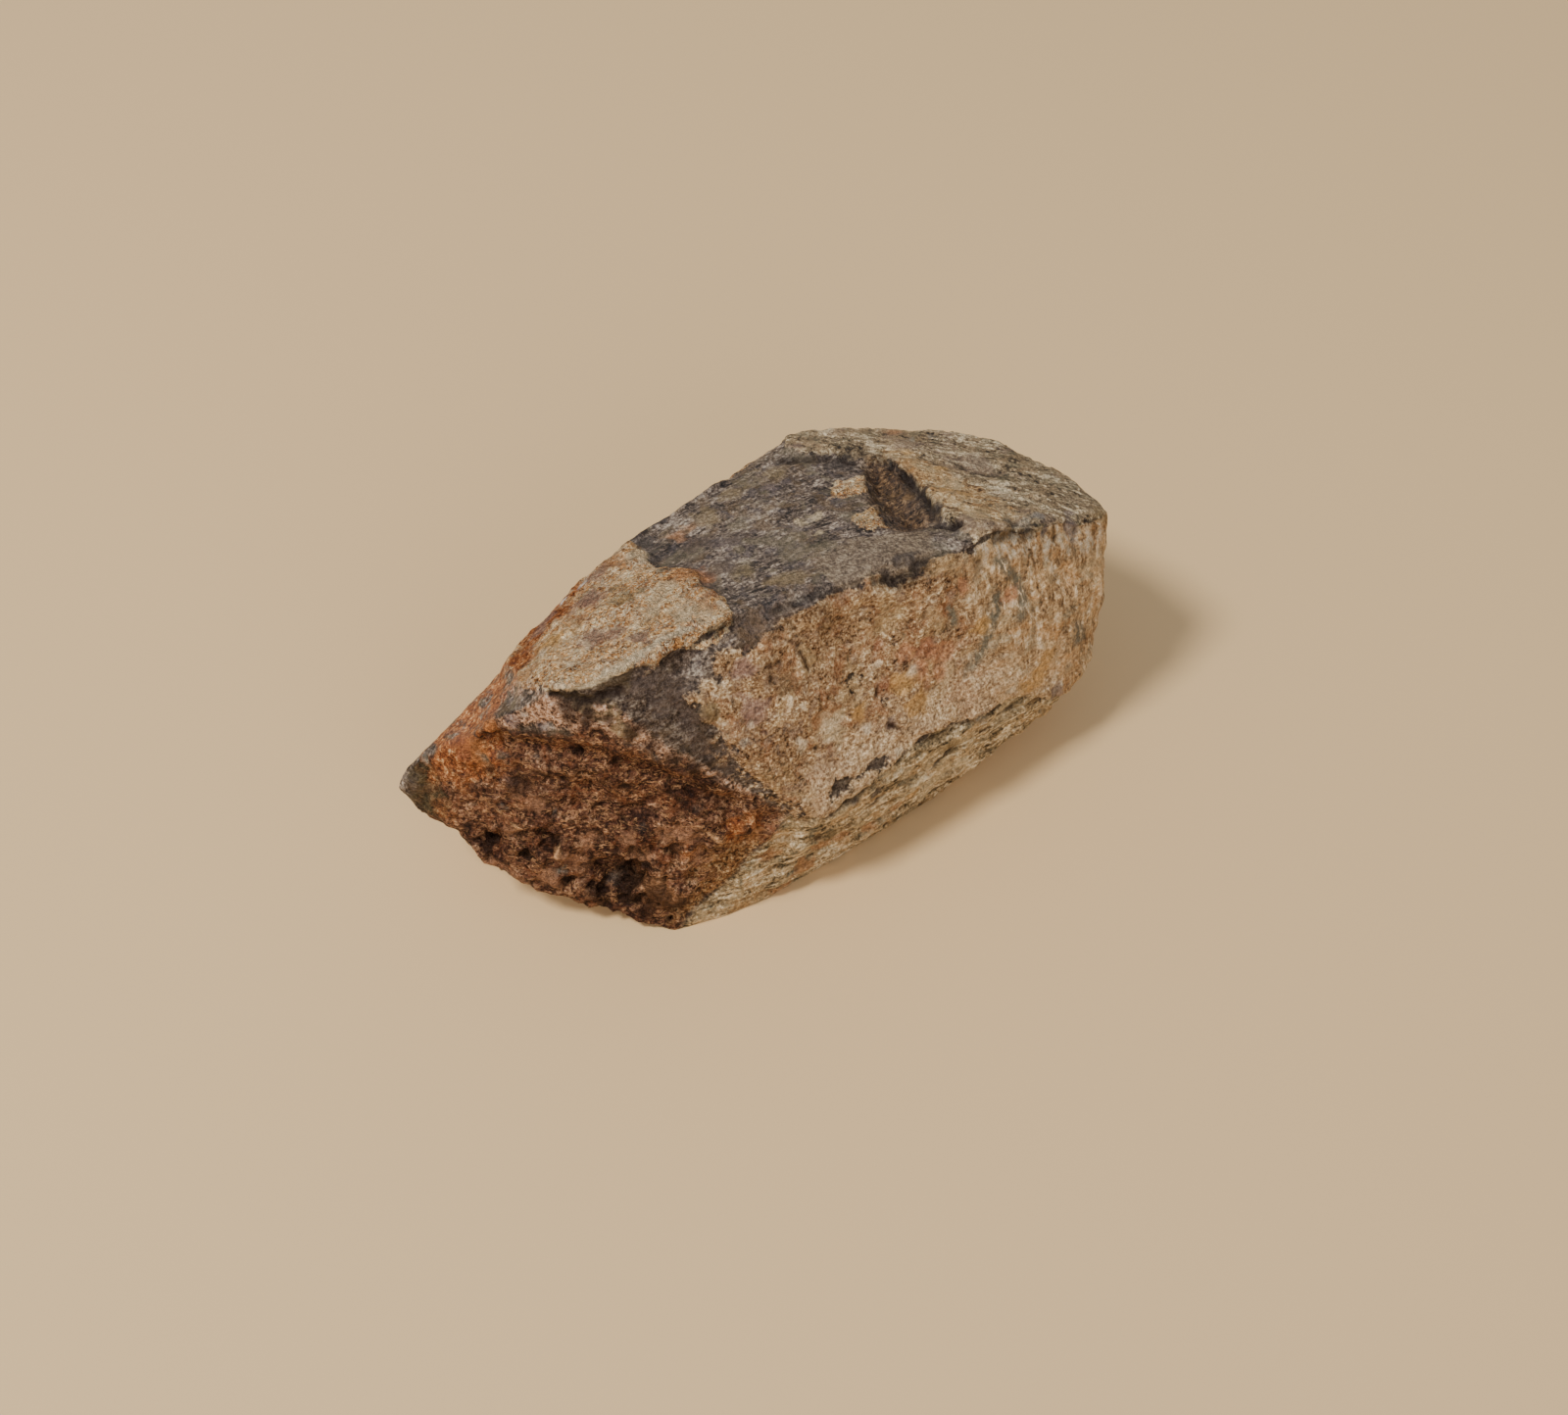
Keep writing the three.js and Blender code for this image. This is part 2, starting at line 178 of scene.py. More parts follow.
# %% Where the vertices are and which way their faces look
mesh = stone.data
count = len(mesh.vertices)
flat = np.empty(count * 3)
mesh.vertices.foreach_get("co", flat)
place = flat.reshape(-1, 3) / MM
mesh.vertices.foreach_get("normal", flat)
normal = flat.reshape(-1, 3).copy()
ends = np.empty(len(mesh.edges) * 2, int)
mesh.edges.foreach_get("vertices", ends)
one, other = ends.reshape(-1, 2).T


def even_out(values, rounds):
    """Averages values over neighbouring vertices, to forget the small relief."""
    share = np.bincount(one, minlength=count) + np.bincount(other, minlength=count)
    for _ in range(rounds):
        near = [
            np.bincount(one, v[other], count) + np.bincount(other, v[one], count) for v in values.T
        ]
        values = 0.4 * values + 0.6 * np.stack(near, 1) / share[:, None]
    return values


facing = even_out(normal, 14)
facing /= np.linalg.norm(facing, axis=1)[:, None]
x, y, z = place.T
print("share of faces that look up:", round(float(np.mean(facing[:, 2] > 0.6)), 2))


# %% How far inside an outline each vertex lies
def inside(outline, a, b):
    """Signed distance in mm from (a, b) to a closed outline, positive inside it."""
    nearest = np.full(len(a), 1e9)
    within = np.zeros(len(a), bool)
    for (a0, b0), (a1, b1) in zip(outline, outline[1:] + outline[:1]):
        run = (a1 - a0) ** 2 + (b1 - b0) ** 2
        along = np.clip(((a - a0) * (a1 - a0) + (b - b0) * (b1 - b0)) / run, 0, 1)
        gap = np.hypot(a - a0 - along * (a1 - a0), b - b0 - along * (b1 - b0))
        nearest = np.minimum(nearest, gap)
        if b0 != b1:
            crosses = ((b0 > b) != (b1 > b)) & (a < a0 + (b - b0) * (a1 - a0) / (b1 - b0))
            within ^= crosses
    return np.where(within, nearest, -nearest)


def grain(size, shift=0.0, stretch=(1, 1, 1)):
    """Perlin noise, about -1 to 1, with features of this size in mm."""
    seeds = place / (np.array(stretch) * size) + shift
    return np.array([noise.noise(Vector(p)) for p in seeds])


def fade(value, low, high):
    """0 below low and 1 above high, with a soft step between them."""
    t = np.clip((value - low) / (high - low), 0, 1)
    return t * t * (3 - 2 * t)


# %% Zones, as millimetres inside each outline on the faces that it is drawn for
EDGE = 3.0  # mm of distance for each unit that a face turns away
TOP_TILT = 0.60  # the least upward part of a normal for a top face
STEEP_TILT = 0.62  # the most for a steep face
SIDE_TURN = 0.25  # how far a steep face turns to the front or the back
UNDER_TILT = 0.55  # the least downward part for the underside
both = np.minimum
either = np.maximum
looks_up = (facing[:, 2] - TOP_TILT) * EDGE
looks_front = both(-facing[:, 1] - SIDE_TURN, STEEP_TILT - facing[:, 2]) * EDGE
looks_back = both(facing[:, 1] - SIDE_TURN, STEEP_TILT - facing[:, 2]) * EDGE
looks_down = (-facing[:, 2] - UNDER_TILT) * EDGE
wander = 0.55 * grain(2.2) + 0.3 * grain(0.8, 3.0)  # mm that an outline strays

cream = both(inside(TOP_LEFT_CRUST, x, y), looks_up)
for flake in CREAM_FLAKES:
    cream = either(cream, both(inside(flake, x, y), looks_up))
cream += wander
banded = both(inside(RIGHT_END, x, y), looks_up) + 0.7 * wander
notch = both(inside(NOTCH, x, y), looks_up) + 0.8 * wander
tan = both(inside(FRONT_CRUST, x, z), looks_front)
for spot in FRONT_DARK_SPOTS:
    tan = both(tan, -inside(spot, x, z))
tan = either(tan, both(inside(BACK_CRUST, x, z), looks_back))
tan = either(tan, both(looks_down, 1.2 + 3.0 * grain(6.0, 5.0))) + wander
layered = both(inside(LOWER_FRONT, x, z), looks_front)
layered = either(layered, both(both(looks_back, 9.5 + 1.5 * grain(5.0) - z), x + 22)) + 0.5 * wander
broken = both(inside(BROKEN_END, x, z), looks_front + 0.4) + 0.6 * wander + 1.3 * grain(3.6, 7.0)
shelf = both(inside(SHELF, x, z), either(looks_front, -looks_up)) + 0.5 * wander
smooth_flake = both(inside(SMOOTH_FLAKE, x, y), looks_up) + 0.6 * wander
cream_bands = both(inside(CREAM_BANDS, x, y), looks_up + 1) + wander
olive_crust = inside(OLIVE_CRUST, x, z) + 0.5 * wander - 3 * (y > -5)
print("crusted share of vertices:", round(float(np.mean(either(cream, tan) > 0)), 2))

# %% [markdown]
# ## Spots, stains and cracks
#
# Water has stained the real stone orange beside the crust and knocks have left small pale bruises. Its
# pits, cracks, grooves and recesses are darkened with painted shade, and a few white glints are
# painted highlights. No noise would put these in the right places. They could be painted on an image,
# but that would tie them to one unwrapping. Here every mark is written down, a spot as x, y, z and a
# radius and a line as its points and its reach, so that each can be moved.

# %% Spots and lines with their own look in the material, painted highlights and shade among them, in millimetres
SPOTS = {
    # iron staining
    "rust": [
        (-25.8, -2.4, 16.6, 3.2), (-27.4, -0.9, 15.2, 2.2), (-7.9, -15.5, 10.2, 1.8),
        (-24, 0.5, 18.6, 2.2), (-12.3, -14.6, 9, 1.3),
    ],
    # painted highlights: small white glints
    "glint": [(-12.1, 5.5, 21.7, 0.4), (-14, 5.5, 21.1, 0.4), (-21.7, -8.2, 12.8, 0.3)],
    # the grey point at the left end
    "tip": [(-31.2, 1.5, 10.8, 2.6), (-30.3, 0.9, 13.1, 2.2), (-29.6, -1, 10.6, 1.6)],
    # grains on the lower right of the broken end
    "tan_grains": [(-8.6, -15.6, 6.2, 3.8), (-10.5, -15.4, 3, 3), (-13, -15, 1.6, 1.6)],
    # paler foot of the front crust
    "pale_low": [
        (4, -14.6, 13, 4), (9.5, -14, 13.8, 4), (14, -13.2, 13.4, 4),
        (17.5, -12.6, 12.2, 3.5), (-0.5, -15.6, 12, 3), (22.5, -11.6, 11, 3),
    ],
}
# grooves, lips and ledges: cut into the relief and darkened with painted shade
LIP_AND_GROOVE_SHADE = [
    ([(-6.8, -8.4, 27.1), (-2, -8.6, 27.4), (3, -8.5, 27.2), (4.5, -8.8, 26.9)], 0.8),
    ([(7.9, -8.7, 26.2), (9.6, -8.9, 25.3), (11, -8.8, 25.1), (12.4, -8.3, 25.8)], 1),
    ([(-20.3, -6.5, 24.8), (-19.3, -7.7, 24.8), (-17.7, -8.7, 24.9), (-16.3, -9.2, 25.3)], 0.9),
    ([(-24.8, -3.6, 18.5), (-22.9, -5.9, 18.8), (-21.2, -8, 18.9)], 1.2),
    ([(15, 10.5, 21.2), (16.8, 8.6, 21.3), (17.2, 5.4, 22.1), (16.9, 1.5, 23.3),
      (16.2, -2.5, 24.6), (15.8, -4.4, 25), (17.5, -6.4, 25.2)], 0.8),
    ([(19.2, -7.6, 24.9), (21, -7.8, 24.3), (22.6, -7.7, 23.7)], 0.9),
    ([(9, 11.4, 21.9), (12.5, 9.6, 22), (15.5, 8.6, 21.8)], 0.9),
]
GREEN_VEINS = [
    ([(19, -8.6, 23.2), (20.6, -9.2, 20.6), (20.8, -9.8, 18.8), (20.2, -10.4, 17.4)], 0.8),
    ([(18.4, -9.8, 20), (17.5, -10.7, 18.1), (16.2, -11.6, 16.2), (14.7, -12.4, 15.1)], 0.9),
    ([(13.9, -9.9, 21.2), (14, -10.5, 19.8)], 0.7),
    ([(25.6, -9.3, 15.5), (26.6, -10.4, 11.5)], 1),
]
PALE_RIM = [  # bleached fibres under the right top edge
    ([(17.6, -8, 24.8), (21.7, -8.2, 23.5), (24.6, -8.1, 22.1), (29, -7.9, 20)], 2),
]
FAR_CRUST = [  # crust that thins out beside the broken end
    ([(-8.8, -13.4, 19.2), (-7.2, -14.4, 16.4), (-5.2, -15.6, 13.3), (-3.4, -16.4, 10.5)], 1.5),
]

# %% Touches and strokes of plain colour: name, colour, strength, then where they lie
TOUCHES = [
    # pits of the broken end, sunk into the relief and darkened with painted shade
    ("shaded pits", (42, 26, 18), 0.88, [
        (-23.1, -8.6, 9.6, 1.4), (-21, -9.7, 12, 1), (-20.2, -9.8, 15.2, 1),
        (-21.8, -8.1, 15.9, 0.6), (-22.2, -8.5, 13.6, 0.7), (-26.8, -5.1, 7.6, 1),
        (-18, -12.2, 5.9, 2.3), (-19, -11.8, 4.9, 1.5), (-16.7, -12.6, 9, 0.7),
        (-13.9, -14, 9.3, 1), (-17.3, -11.8, 12.4, 0.7), (-18.7, -10.9, 13.3, 0.6),
        (-21.9, -10.1, 5.4, 0.6), (-16.1, -13.1, 7.4, 0.7), (-20.8, -10.1, 10, 0.6),
        (-18.1, -11.8, 9.2, 0.6), (-24.6, -7.5, 7.7, 0.6), (-15, -13.9, 6.2, 0.6),
    ]),
    # painted shade in the groove under the rim of the broken end and under the left crust lip
    ("groove shade", (50, 33, 24), 0.85, [
        (-24, -4.4, 18.6, 1.1), (-23, -5.4, 19.3, 0.8), (-22, -6.7, 19.4, 1),
        (-21.2, -7.8, 19.1, 1), (-20, -9.1, 19.4, 1.1), (-18.7, -10.2, 18.6, 1.2),
        (-17.3, -11.1, 17.6, 1.5), (-15.9, -12, 16.2, 1.5), (-18.5, -10.7, 15.5, 1.2),
        (-19.4, -8.2, 23.7, 1.4), (-18.2, -9.2, 23.6, 1),
    ]),
    # painted shade on the front crust just below the crest
    ("crest shade", (104, 80, 58), 0.5, [
        (-3.3, -8.8, 26.8, 1.9), (-0.4, -8.8, 26.8, 1.5), (-1.9, -9.4, 25.8, 1.1),
        (2.3, -9.3, 25.9, 1.1), (-2.2, -11.5, 21.9, 1.3), (-3.1, -10.6, 23.9, 1.1),
        (-4.8, -8.2, 27.5, 1.1), (-2.2, -8.3, 27.6, 1.1), (0.2, -7.9, 27.7, 1.1),
        (2.2, -7.5, 27.5, 0.9), (2.7, -9.8, 24.8, 1.2),
    ]),
    ("orange brown", (166, 116, 76), 0.65, [
        (-1, -15.7, 5, 1.3), (1.3, -15.2, 4.4, 1.1), (3.7, -14.7, 3.6, 1),
        (-19.3, 2.9, 20, 0.8), (-19.5, -1.6, 22.7, 0.8), (-20.4, -1.5, 22.1, 0.7),
        (-18.2, 0.3, 22.2, 0.7), (-21.2, 2.2, 19.2, 0.7),
        (-9.2, 6.2, 22.3, 1.5), (-8.6, 5, 22.9, 0.8), (-14.7, 0.8, 23.4, 1.2),
        (-3.2, 6.2, 23.4, 1), (-1.6, 6.9, 23.3, 0.8), (-0.2, -13, 17.9, 1),
        (-0.6, -13.1, 17.6, 0.8), (6.2, -14.4, 4.7, 1), (-2.7, -15.5, 2.6, 1.4),
        (-4.8, -15.3, 0.4, 1.2), (20.1, 11.4, 19.9, 1), (22.2, -3.8, 23.4, 0.8),
        (-15.2, -14, 4.3, 1.9), (15.7, 6.9, 22.4, 0.7), (-5.9, -16, 5.8, 1.1),
        (-7.3, -15.7, 9.1, 1),
    ]),
    ("bright orange", (178, 114, 66), 0.75, [
        (-5.3, -0.7, 25.5, 1.6), (-6.1, -0.7, 25.4, 1.2), (-4.4, -1.2, 25.7, 1.1),
        (-6.1, -5.3, 26.8, 0.7), (-5.7, -6.3, 27.2, 0.8), (-6.3, -4.6, 26.6, 0.6),
        (-25.8, -3.1, 16.6, 1.2), (-26.1, -2.3, 17.2, 1), (-24.5, -3.1, 19.9, 0.8),
    ]),
    ("rust red", (138, 82, 56), 0.65, [
        (-26.8, -1.2, 17.2, 1.1), (-26.6, -2, 16.4, 0.9), (-26.9, 0.9, 16.5, 0.7),
        (-23.7, -1.6, 20.1, 0.9), (-18.7, 1.5, 21.2, 1), (-5, -4.8, 26.8, 0.7),
        (6.9, -11, 20.9, 1), (11, -11.3, 18.8, 1), (6.6, -12.3, 17.7, 0.9),
        (10.5, -12.6, 15.7, 0.7), (5.9, -12.3, 18.1, 0.6),
    ]),
    ("salmon", (192, 134, 98), 0.6, [
        (12.2, -11.5, 17.8, 1.5), (11.7, -12.2, 16.4, 1.2), (10.2, -11.9, 17.6, 1.1),
        (8.9, -11.4, 19.2, 1), (19.7, -9.6, 19.5, 1.1), (15.2, -9.1, 22.4, 1),
    ]),
    ("mauve", (142, 110, 97), 0.75, [
        (-12.7, 2.4, 23.2, 1.7), (-10.6, 5.5, 22.3, 1.4), (-14.6, -3, 25, 1.5),
        (-13.1, -3.9, 25.5, 1.4), (-11.8, -6, 26.5, 1.1), (-5.4, -12.2, 21, 1.5),
        (-5.1, -10.5, 24.1, 1.2), (-24.2, -5.6, 15.1, 1), (-22.4, -6.8, 17.8, 0.8),
        (-15.5, 4.2, 21.1, 1), (-16.9, 3.5, 20.9, 1.1),
    ]),
    ("violet grey", (104, 90, 90), 0.65, [
        (26.8, -7.3, 22, 1), (27.5, -6.1, 22, 0.6), (24.1, -7.3, 23.3, 0.6),
        (6.5, -13.7, 14.4, 0.7), (-0.2, 2.1, 24.9, 1.1), (6.4, 7.9, 23.4, 1.1),
        (7.9, 8, 23.3, 1.1), (5.4, 10.1, 22.8, 0.7), (23.5, -11.8, 7.7, 1.2),
        (-23.1, -4.5, 21.1, 1), (-21.4, -6.5, 21.8, 0.8),
    ]),
    ("olive", (128, 108, 76), 0.65, [
        (-10.7, 0.1, 24.5, 1.4), (-10.3, 1.9, 23.8, 0.8), (-1.1, -2.3, 26.2, 1.4),
        (1.6, -5.5, 27, 1.5), (0.4, -5.1, 27, 1), (19.9, -4.4, 24.3, 0.8),
        (12.2, -14.1, 8.8, 1.2), (10.9, -14.2, 11.3, 0.8), (19, -12.8, 9, 1.1),
        (-0.3, -15.8, 6, 1.2), (30.5, -6.2, 20.9, 1.1), (-8.7, -11.7, 22.1, 1),
        (3.2, 9.2, 23, 1.5), (7.7, 9.7, 22.8, 1.6), (-0.3, 6.9, 23.4, 1.5),
    ]),
    ("ochre", (190, 146, 88), 0.7, [
        (18.6, -0.5, 23.7, 1.1), (19.6, -1.7, 23.7, 1.1), (20, 3.2, 22.3, 0.8),
        (18.9, 6.6, 21.6, 0.8), (8.2, -12.4, 17, 1.4), (9.2, -13.1, 15.1, 1.5),
        (3.5, -13.1, 16.7, 1), (21.8, -11.9, 10.7, 1.5), (22.6, -11.4, 12.1, 1.1),
        (20.5, -12.4, 10.3, 1), (8.3, -14.1, 5, 1), (-16.9, 0.4, 22.8, 1.5),
        (16.6, -10.6, 18.4, 1),
    ]),
    ("pale flecks", (214, 194, 164), 0.7, [
        (-7.6, 5.7, 22.8, 0.5), (-7.4, 4.2, 23.4, 0.4), (-7.5, 7.3, 22.3, 0.4),
        (-9.8, 4.4, 23, 0.3), (-5.2, 2.1, 24.5, 0.3), (-5.2, 5.8, 23.2, 0.3),
        (-17.5, -4.9, 25.3, 0.4), (-15.7, -3.9, 25.2, 0.3), (-15.7, -7.9, 26.6, 0.4),
        (1.7, -10.7, 22.9, 0.5), (3.4, -10.8, 22.2, 0.4), (6.5, -11.6, 19.5, 0.8),
        (5.8, -11.9, 19, 0.6), (4.1, -13.8, 15, 0.6), (5.3, -10, 23.6, 0.5),
        (6.7, -10.1, 23.2, 0.8), (-2.1, -13.7, 16.7, 0.6), (-5.8, -12.6, 20.1, 0.3),
        (9.4, -11.9, 17.8, 0.5), (8.3, -10.5, 21.6, 0.5), (6.4, -14.8, 11.9, 0.5),
        (18.5, -12.8, 11.4, 0.6), (19, -12.5, 11.8, 0.5), (-5.7, -3.1, 26.2, 0.3),
        (-18.2, -0.5, 22.7, 0.6), (-5, -6.2, 27.2, 0.5),
    ]),
    ("cream wash", (204, 182, 146), 0.65, [
        (-25.8, -2.9, 16.8, 0.3), (-25.4, -3.6, 16.4, 0.3), (-26.1, -2.1, 17.6, 0.2),
        (-24.4, -3.2, 20.1, 0.2), (-23.7, -3.7, 21.1, 0.3), (-26.4, -1.1, 17.8, 0.2),
        (-23.5, -4.2, 20.7, 0.3), (-27.4, -1, 16, 0.2),
        (-7.7, -1.4, 25.4, 1.5), (-8.6, -2.3, 25.6, 1.4), (-7.6, -5.8, 26.9, 1.5),
        (-6.7, -6.9, 27.3, 1.2), (-7.2, 5.5, 23, 1.1), (-7.7, 8, 22, 0.6),
        (7.4, 1.4, 24.9, 0.8), (6.5, -0.8, 25.6, 0.6), (6.2, 1.5, 25, 0.6),
        (22.9, 1.3, 21.9, 0.8), (21, 1.4, 22.5, 0.8), (0.4, -16.3, 9.2, 0.8),
        (13.6, -13.1, 4.9, 1), (4.9, -15.1, 7.2, 0.7), (7.3, -15, 9, 1),
        (1, -13.5, 16.4, 1.5), (-1.1, 5.6, 23.8, 0.7), (-9.6, -3.7, 26, 1),
    ]),
    # blue grey flecks; the first two spots, on the grey point at the left end, are a painted highlight
    ("blue grey", (148, 141, 128), 0.5, [
        (-29.2, 0.7, 14.4, 0.7), (-29.3, 1.8, 14.2, 0.5), (20.7, 9.5, 20.3, 0.6),
        (22.7, 8.9, 19.9, 0.6), (23.5, -1.5, 22.3, 0.6), (19.2, -5.2, 24.7, 0.6),
        (22.4, -6.9, 24, 0.9), (23.9, -6.9, 23.4, 0.7), (15.6, -13.5, 9.8, 0.7),
        (-6.8, -13.2, 18.9, 0.6), (-8.2, -15.6, 8.1, 0.6), (-22.2, -5.3, 22, 0.7),
        (-20.6, -7.4, 21.9, 0.7), (-22.1, -9.7, 6.8, 0.7), (-25.1, -5.4, 12.4, 0.6),
        (-23, -2.5, 21.2, 0.6),
    ]),
    ("red brown", (150, 108, 80), 0.85, [
        (-22.6, -8.8, 11, 1), (-19.9, -10.6, 10.7, 1.1), (-17.1, -12.1, 10.6, 1.1),
        (-21.9, -9.7, 8.3, 0.8), (-19.1, -11.4, 7.9, 1), (-16.2, -12.9, 8.6, 1),
        (-22.2, -8.5, 13.1, 0.8), (-20.3, -10, 13.2, 0.7), (-14.2, -13.6, 10.6, 1),
        (-14.5, -13.1, 13.1, 0.8), (-16.2, -12.4, 12.6, 0.7), (-23.4, -7.8, 11, 0.7),
        (-17.6, -11.6, 12.4, 0.7), (-25, -6.2, 10.1, 0.7),
    ]),
    # painted shade below the groove and under the rim of the broken end, darker patches at its foot,
    # and small dark stains beside the rust
    ("shade and dark stains", (50, 32, 23), 0.80, [
        (-23.6, -6.2, 15.1, 1.6), (-21.7, -8, 16.7, 1.6), (-19.8, -9.7, 16.8, 1.6),
        (-17.9, -11, 15.8, 1.6), (-22.7, -7.7, 14.1, 1.5), (-19.4, -10.3, 14.6, 1.5),
        (-16.6, -11.8, 14.7, 1.5), (-19.9, -11.4, 4.1, 1.6), (-17.8, -12.7, 3.5, 1.6),
        (-15.6, -13.8, 4.1, 1.6), (-14.1, -14.7, 3.1, 1.3), (-19.2, -12, 2.2, 1.1),
        (-16.5, -13.6, 2.1, 1.1), (-16.6, -9.9, 23.4, 0.8), (-15.3, -11, 22.1, 1),
        (-14.1, -12.1, 20.8, 1), (-12.7, -13.1, 19.7, 1), (-11.3, -13.8, 18.2, 1),
        (-18, -9.1, 23.9, 0.7), (-25.5, -1.8, 18.8, 0.5), (-25.2, -3.3, 17.8, 0.4),
        (-24.3, -3.9, 19, 0.4), (-25.6, 0.6, 17.6, 0.4), (-25.3, -4.1, 15.7, 0.7),
        (-23.7, -5.1, 17.8, 0.7),
    ]),
    ("dusk", (86, 72, 64), 0.68, [
        (-2.2, 4.3, 24.1, 1.5), (-2.2, -0.6, 25.7, 1.6), (-4.7, -2.9, 26.2, 1.1),
        (0.3, 2.8, 24.8, 1.3), (-4.4, 1.9, 24.7, 1), (-12.8, -9.4, 25.4, 1.5),
        (-11.3, -10.4, 24, 1.6), (-10.5, -11.8, 21.9, 1.3), (-12.4, -10.5, 23.8, 1.1),
        (-9.8, -13.3, 19.3, 1.1), (-8.5, -14.1, 17.1, 1), (-10.4, -12.6, 20.8, 1),
    ]),
    ("tan pink", (164, 118, 88), 0.80, [
        (-20, -10.6, 9.6, 1.1), (-20.7, -10.6, 7.2, 1.2), (-23.3, -9.2, 5.6, 1.2),
        (-25.8, -7.4, 4.3, 1.5), (-27.2, -5.9, 5.6, 1), (-12.8, -14.3, 10.7, 1.5),
        (-11.7, -14.8, 8, 1.2), (-18.4, -11.3, 10.8, 0.8), (-14.8, -13.1, 12, 1),
        (-23.4, -7.2, 13.3, 1.2),
    ]),
    ("dark grey", (74, 64, 58), 0.85, [
        (17.1, 3.2, 23, 0.8), (17.3, 0.8, 23.7, 0.8), (16.8, -2.1, 24.6, 0.8),
        (11.3, -8.2, 26.1, 1), (8.9, -8.5, 26.2, 0.8), (14.1, 3.9, 23.6, 0.8),
        (-5.8, 7.3, 22.5, 1), (-6, 4.4, 23.6, 0.8), (-6.2, 1.9, 24.5, 0.7),
        (13.3, 8.2, 22.5, 1.2), (12.8, -1.6, 25.2, 1.2), (3.7, -15.7, 8.9, 0.8),
        (1.8, -16.1, 9.7, 0.7), (10.2, -8.1, 26.6, 0.8),
    ]),
    ("notch brown", (124, 96, 64), 0.7, [
        (15.7, 2.1, 23.7, 1.5), (14.1, 1.2, 24.3, 1), (15.5, -0.1, 24.4, 0.8),
    ]),
]
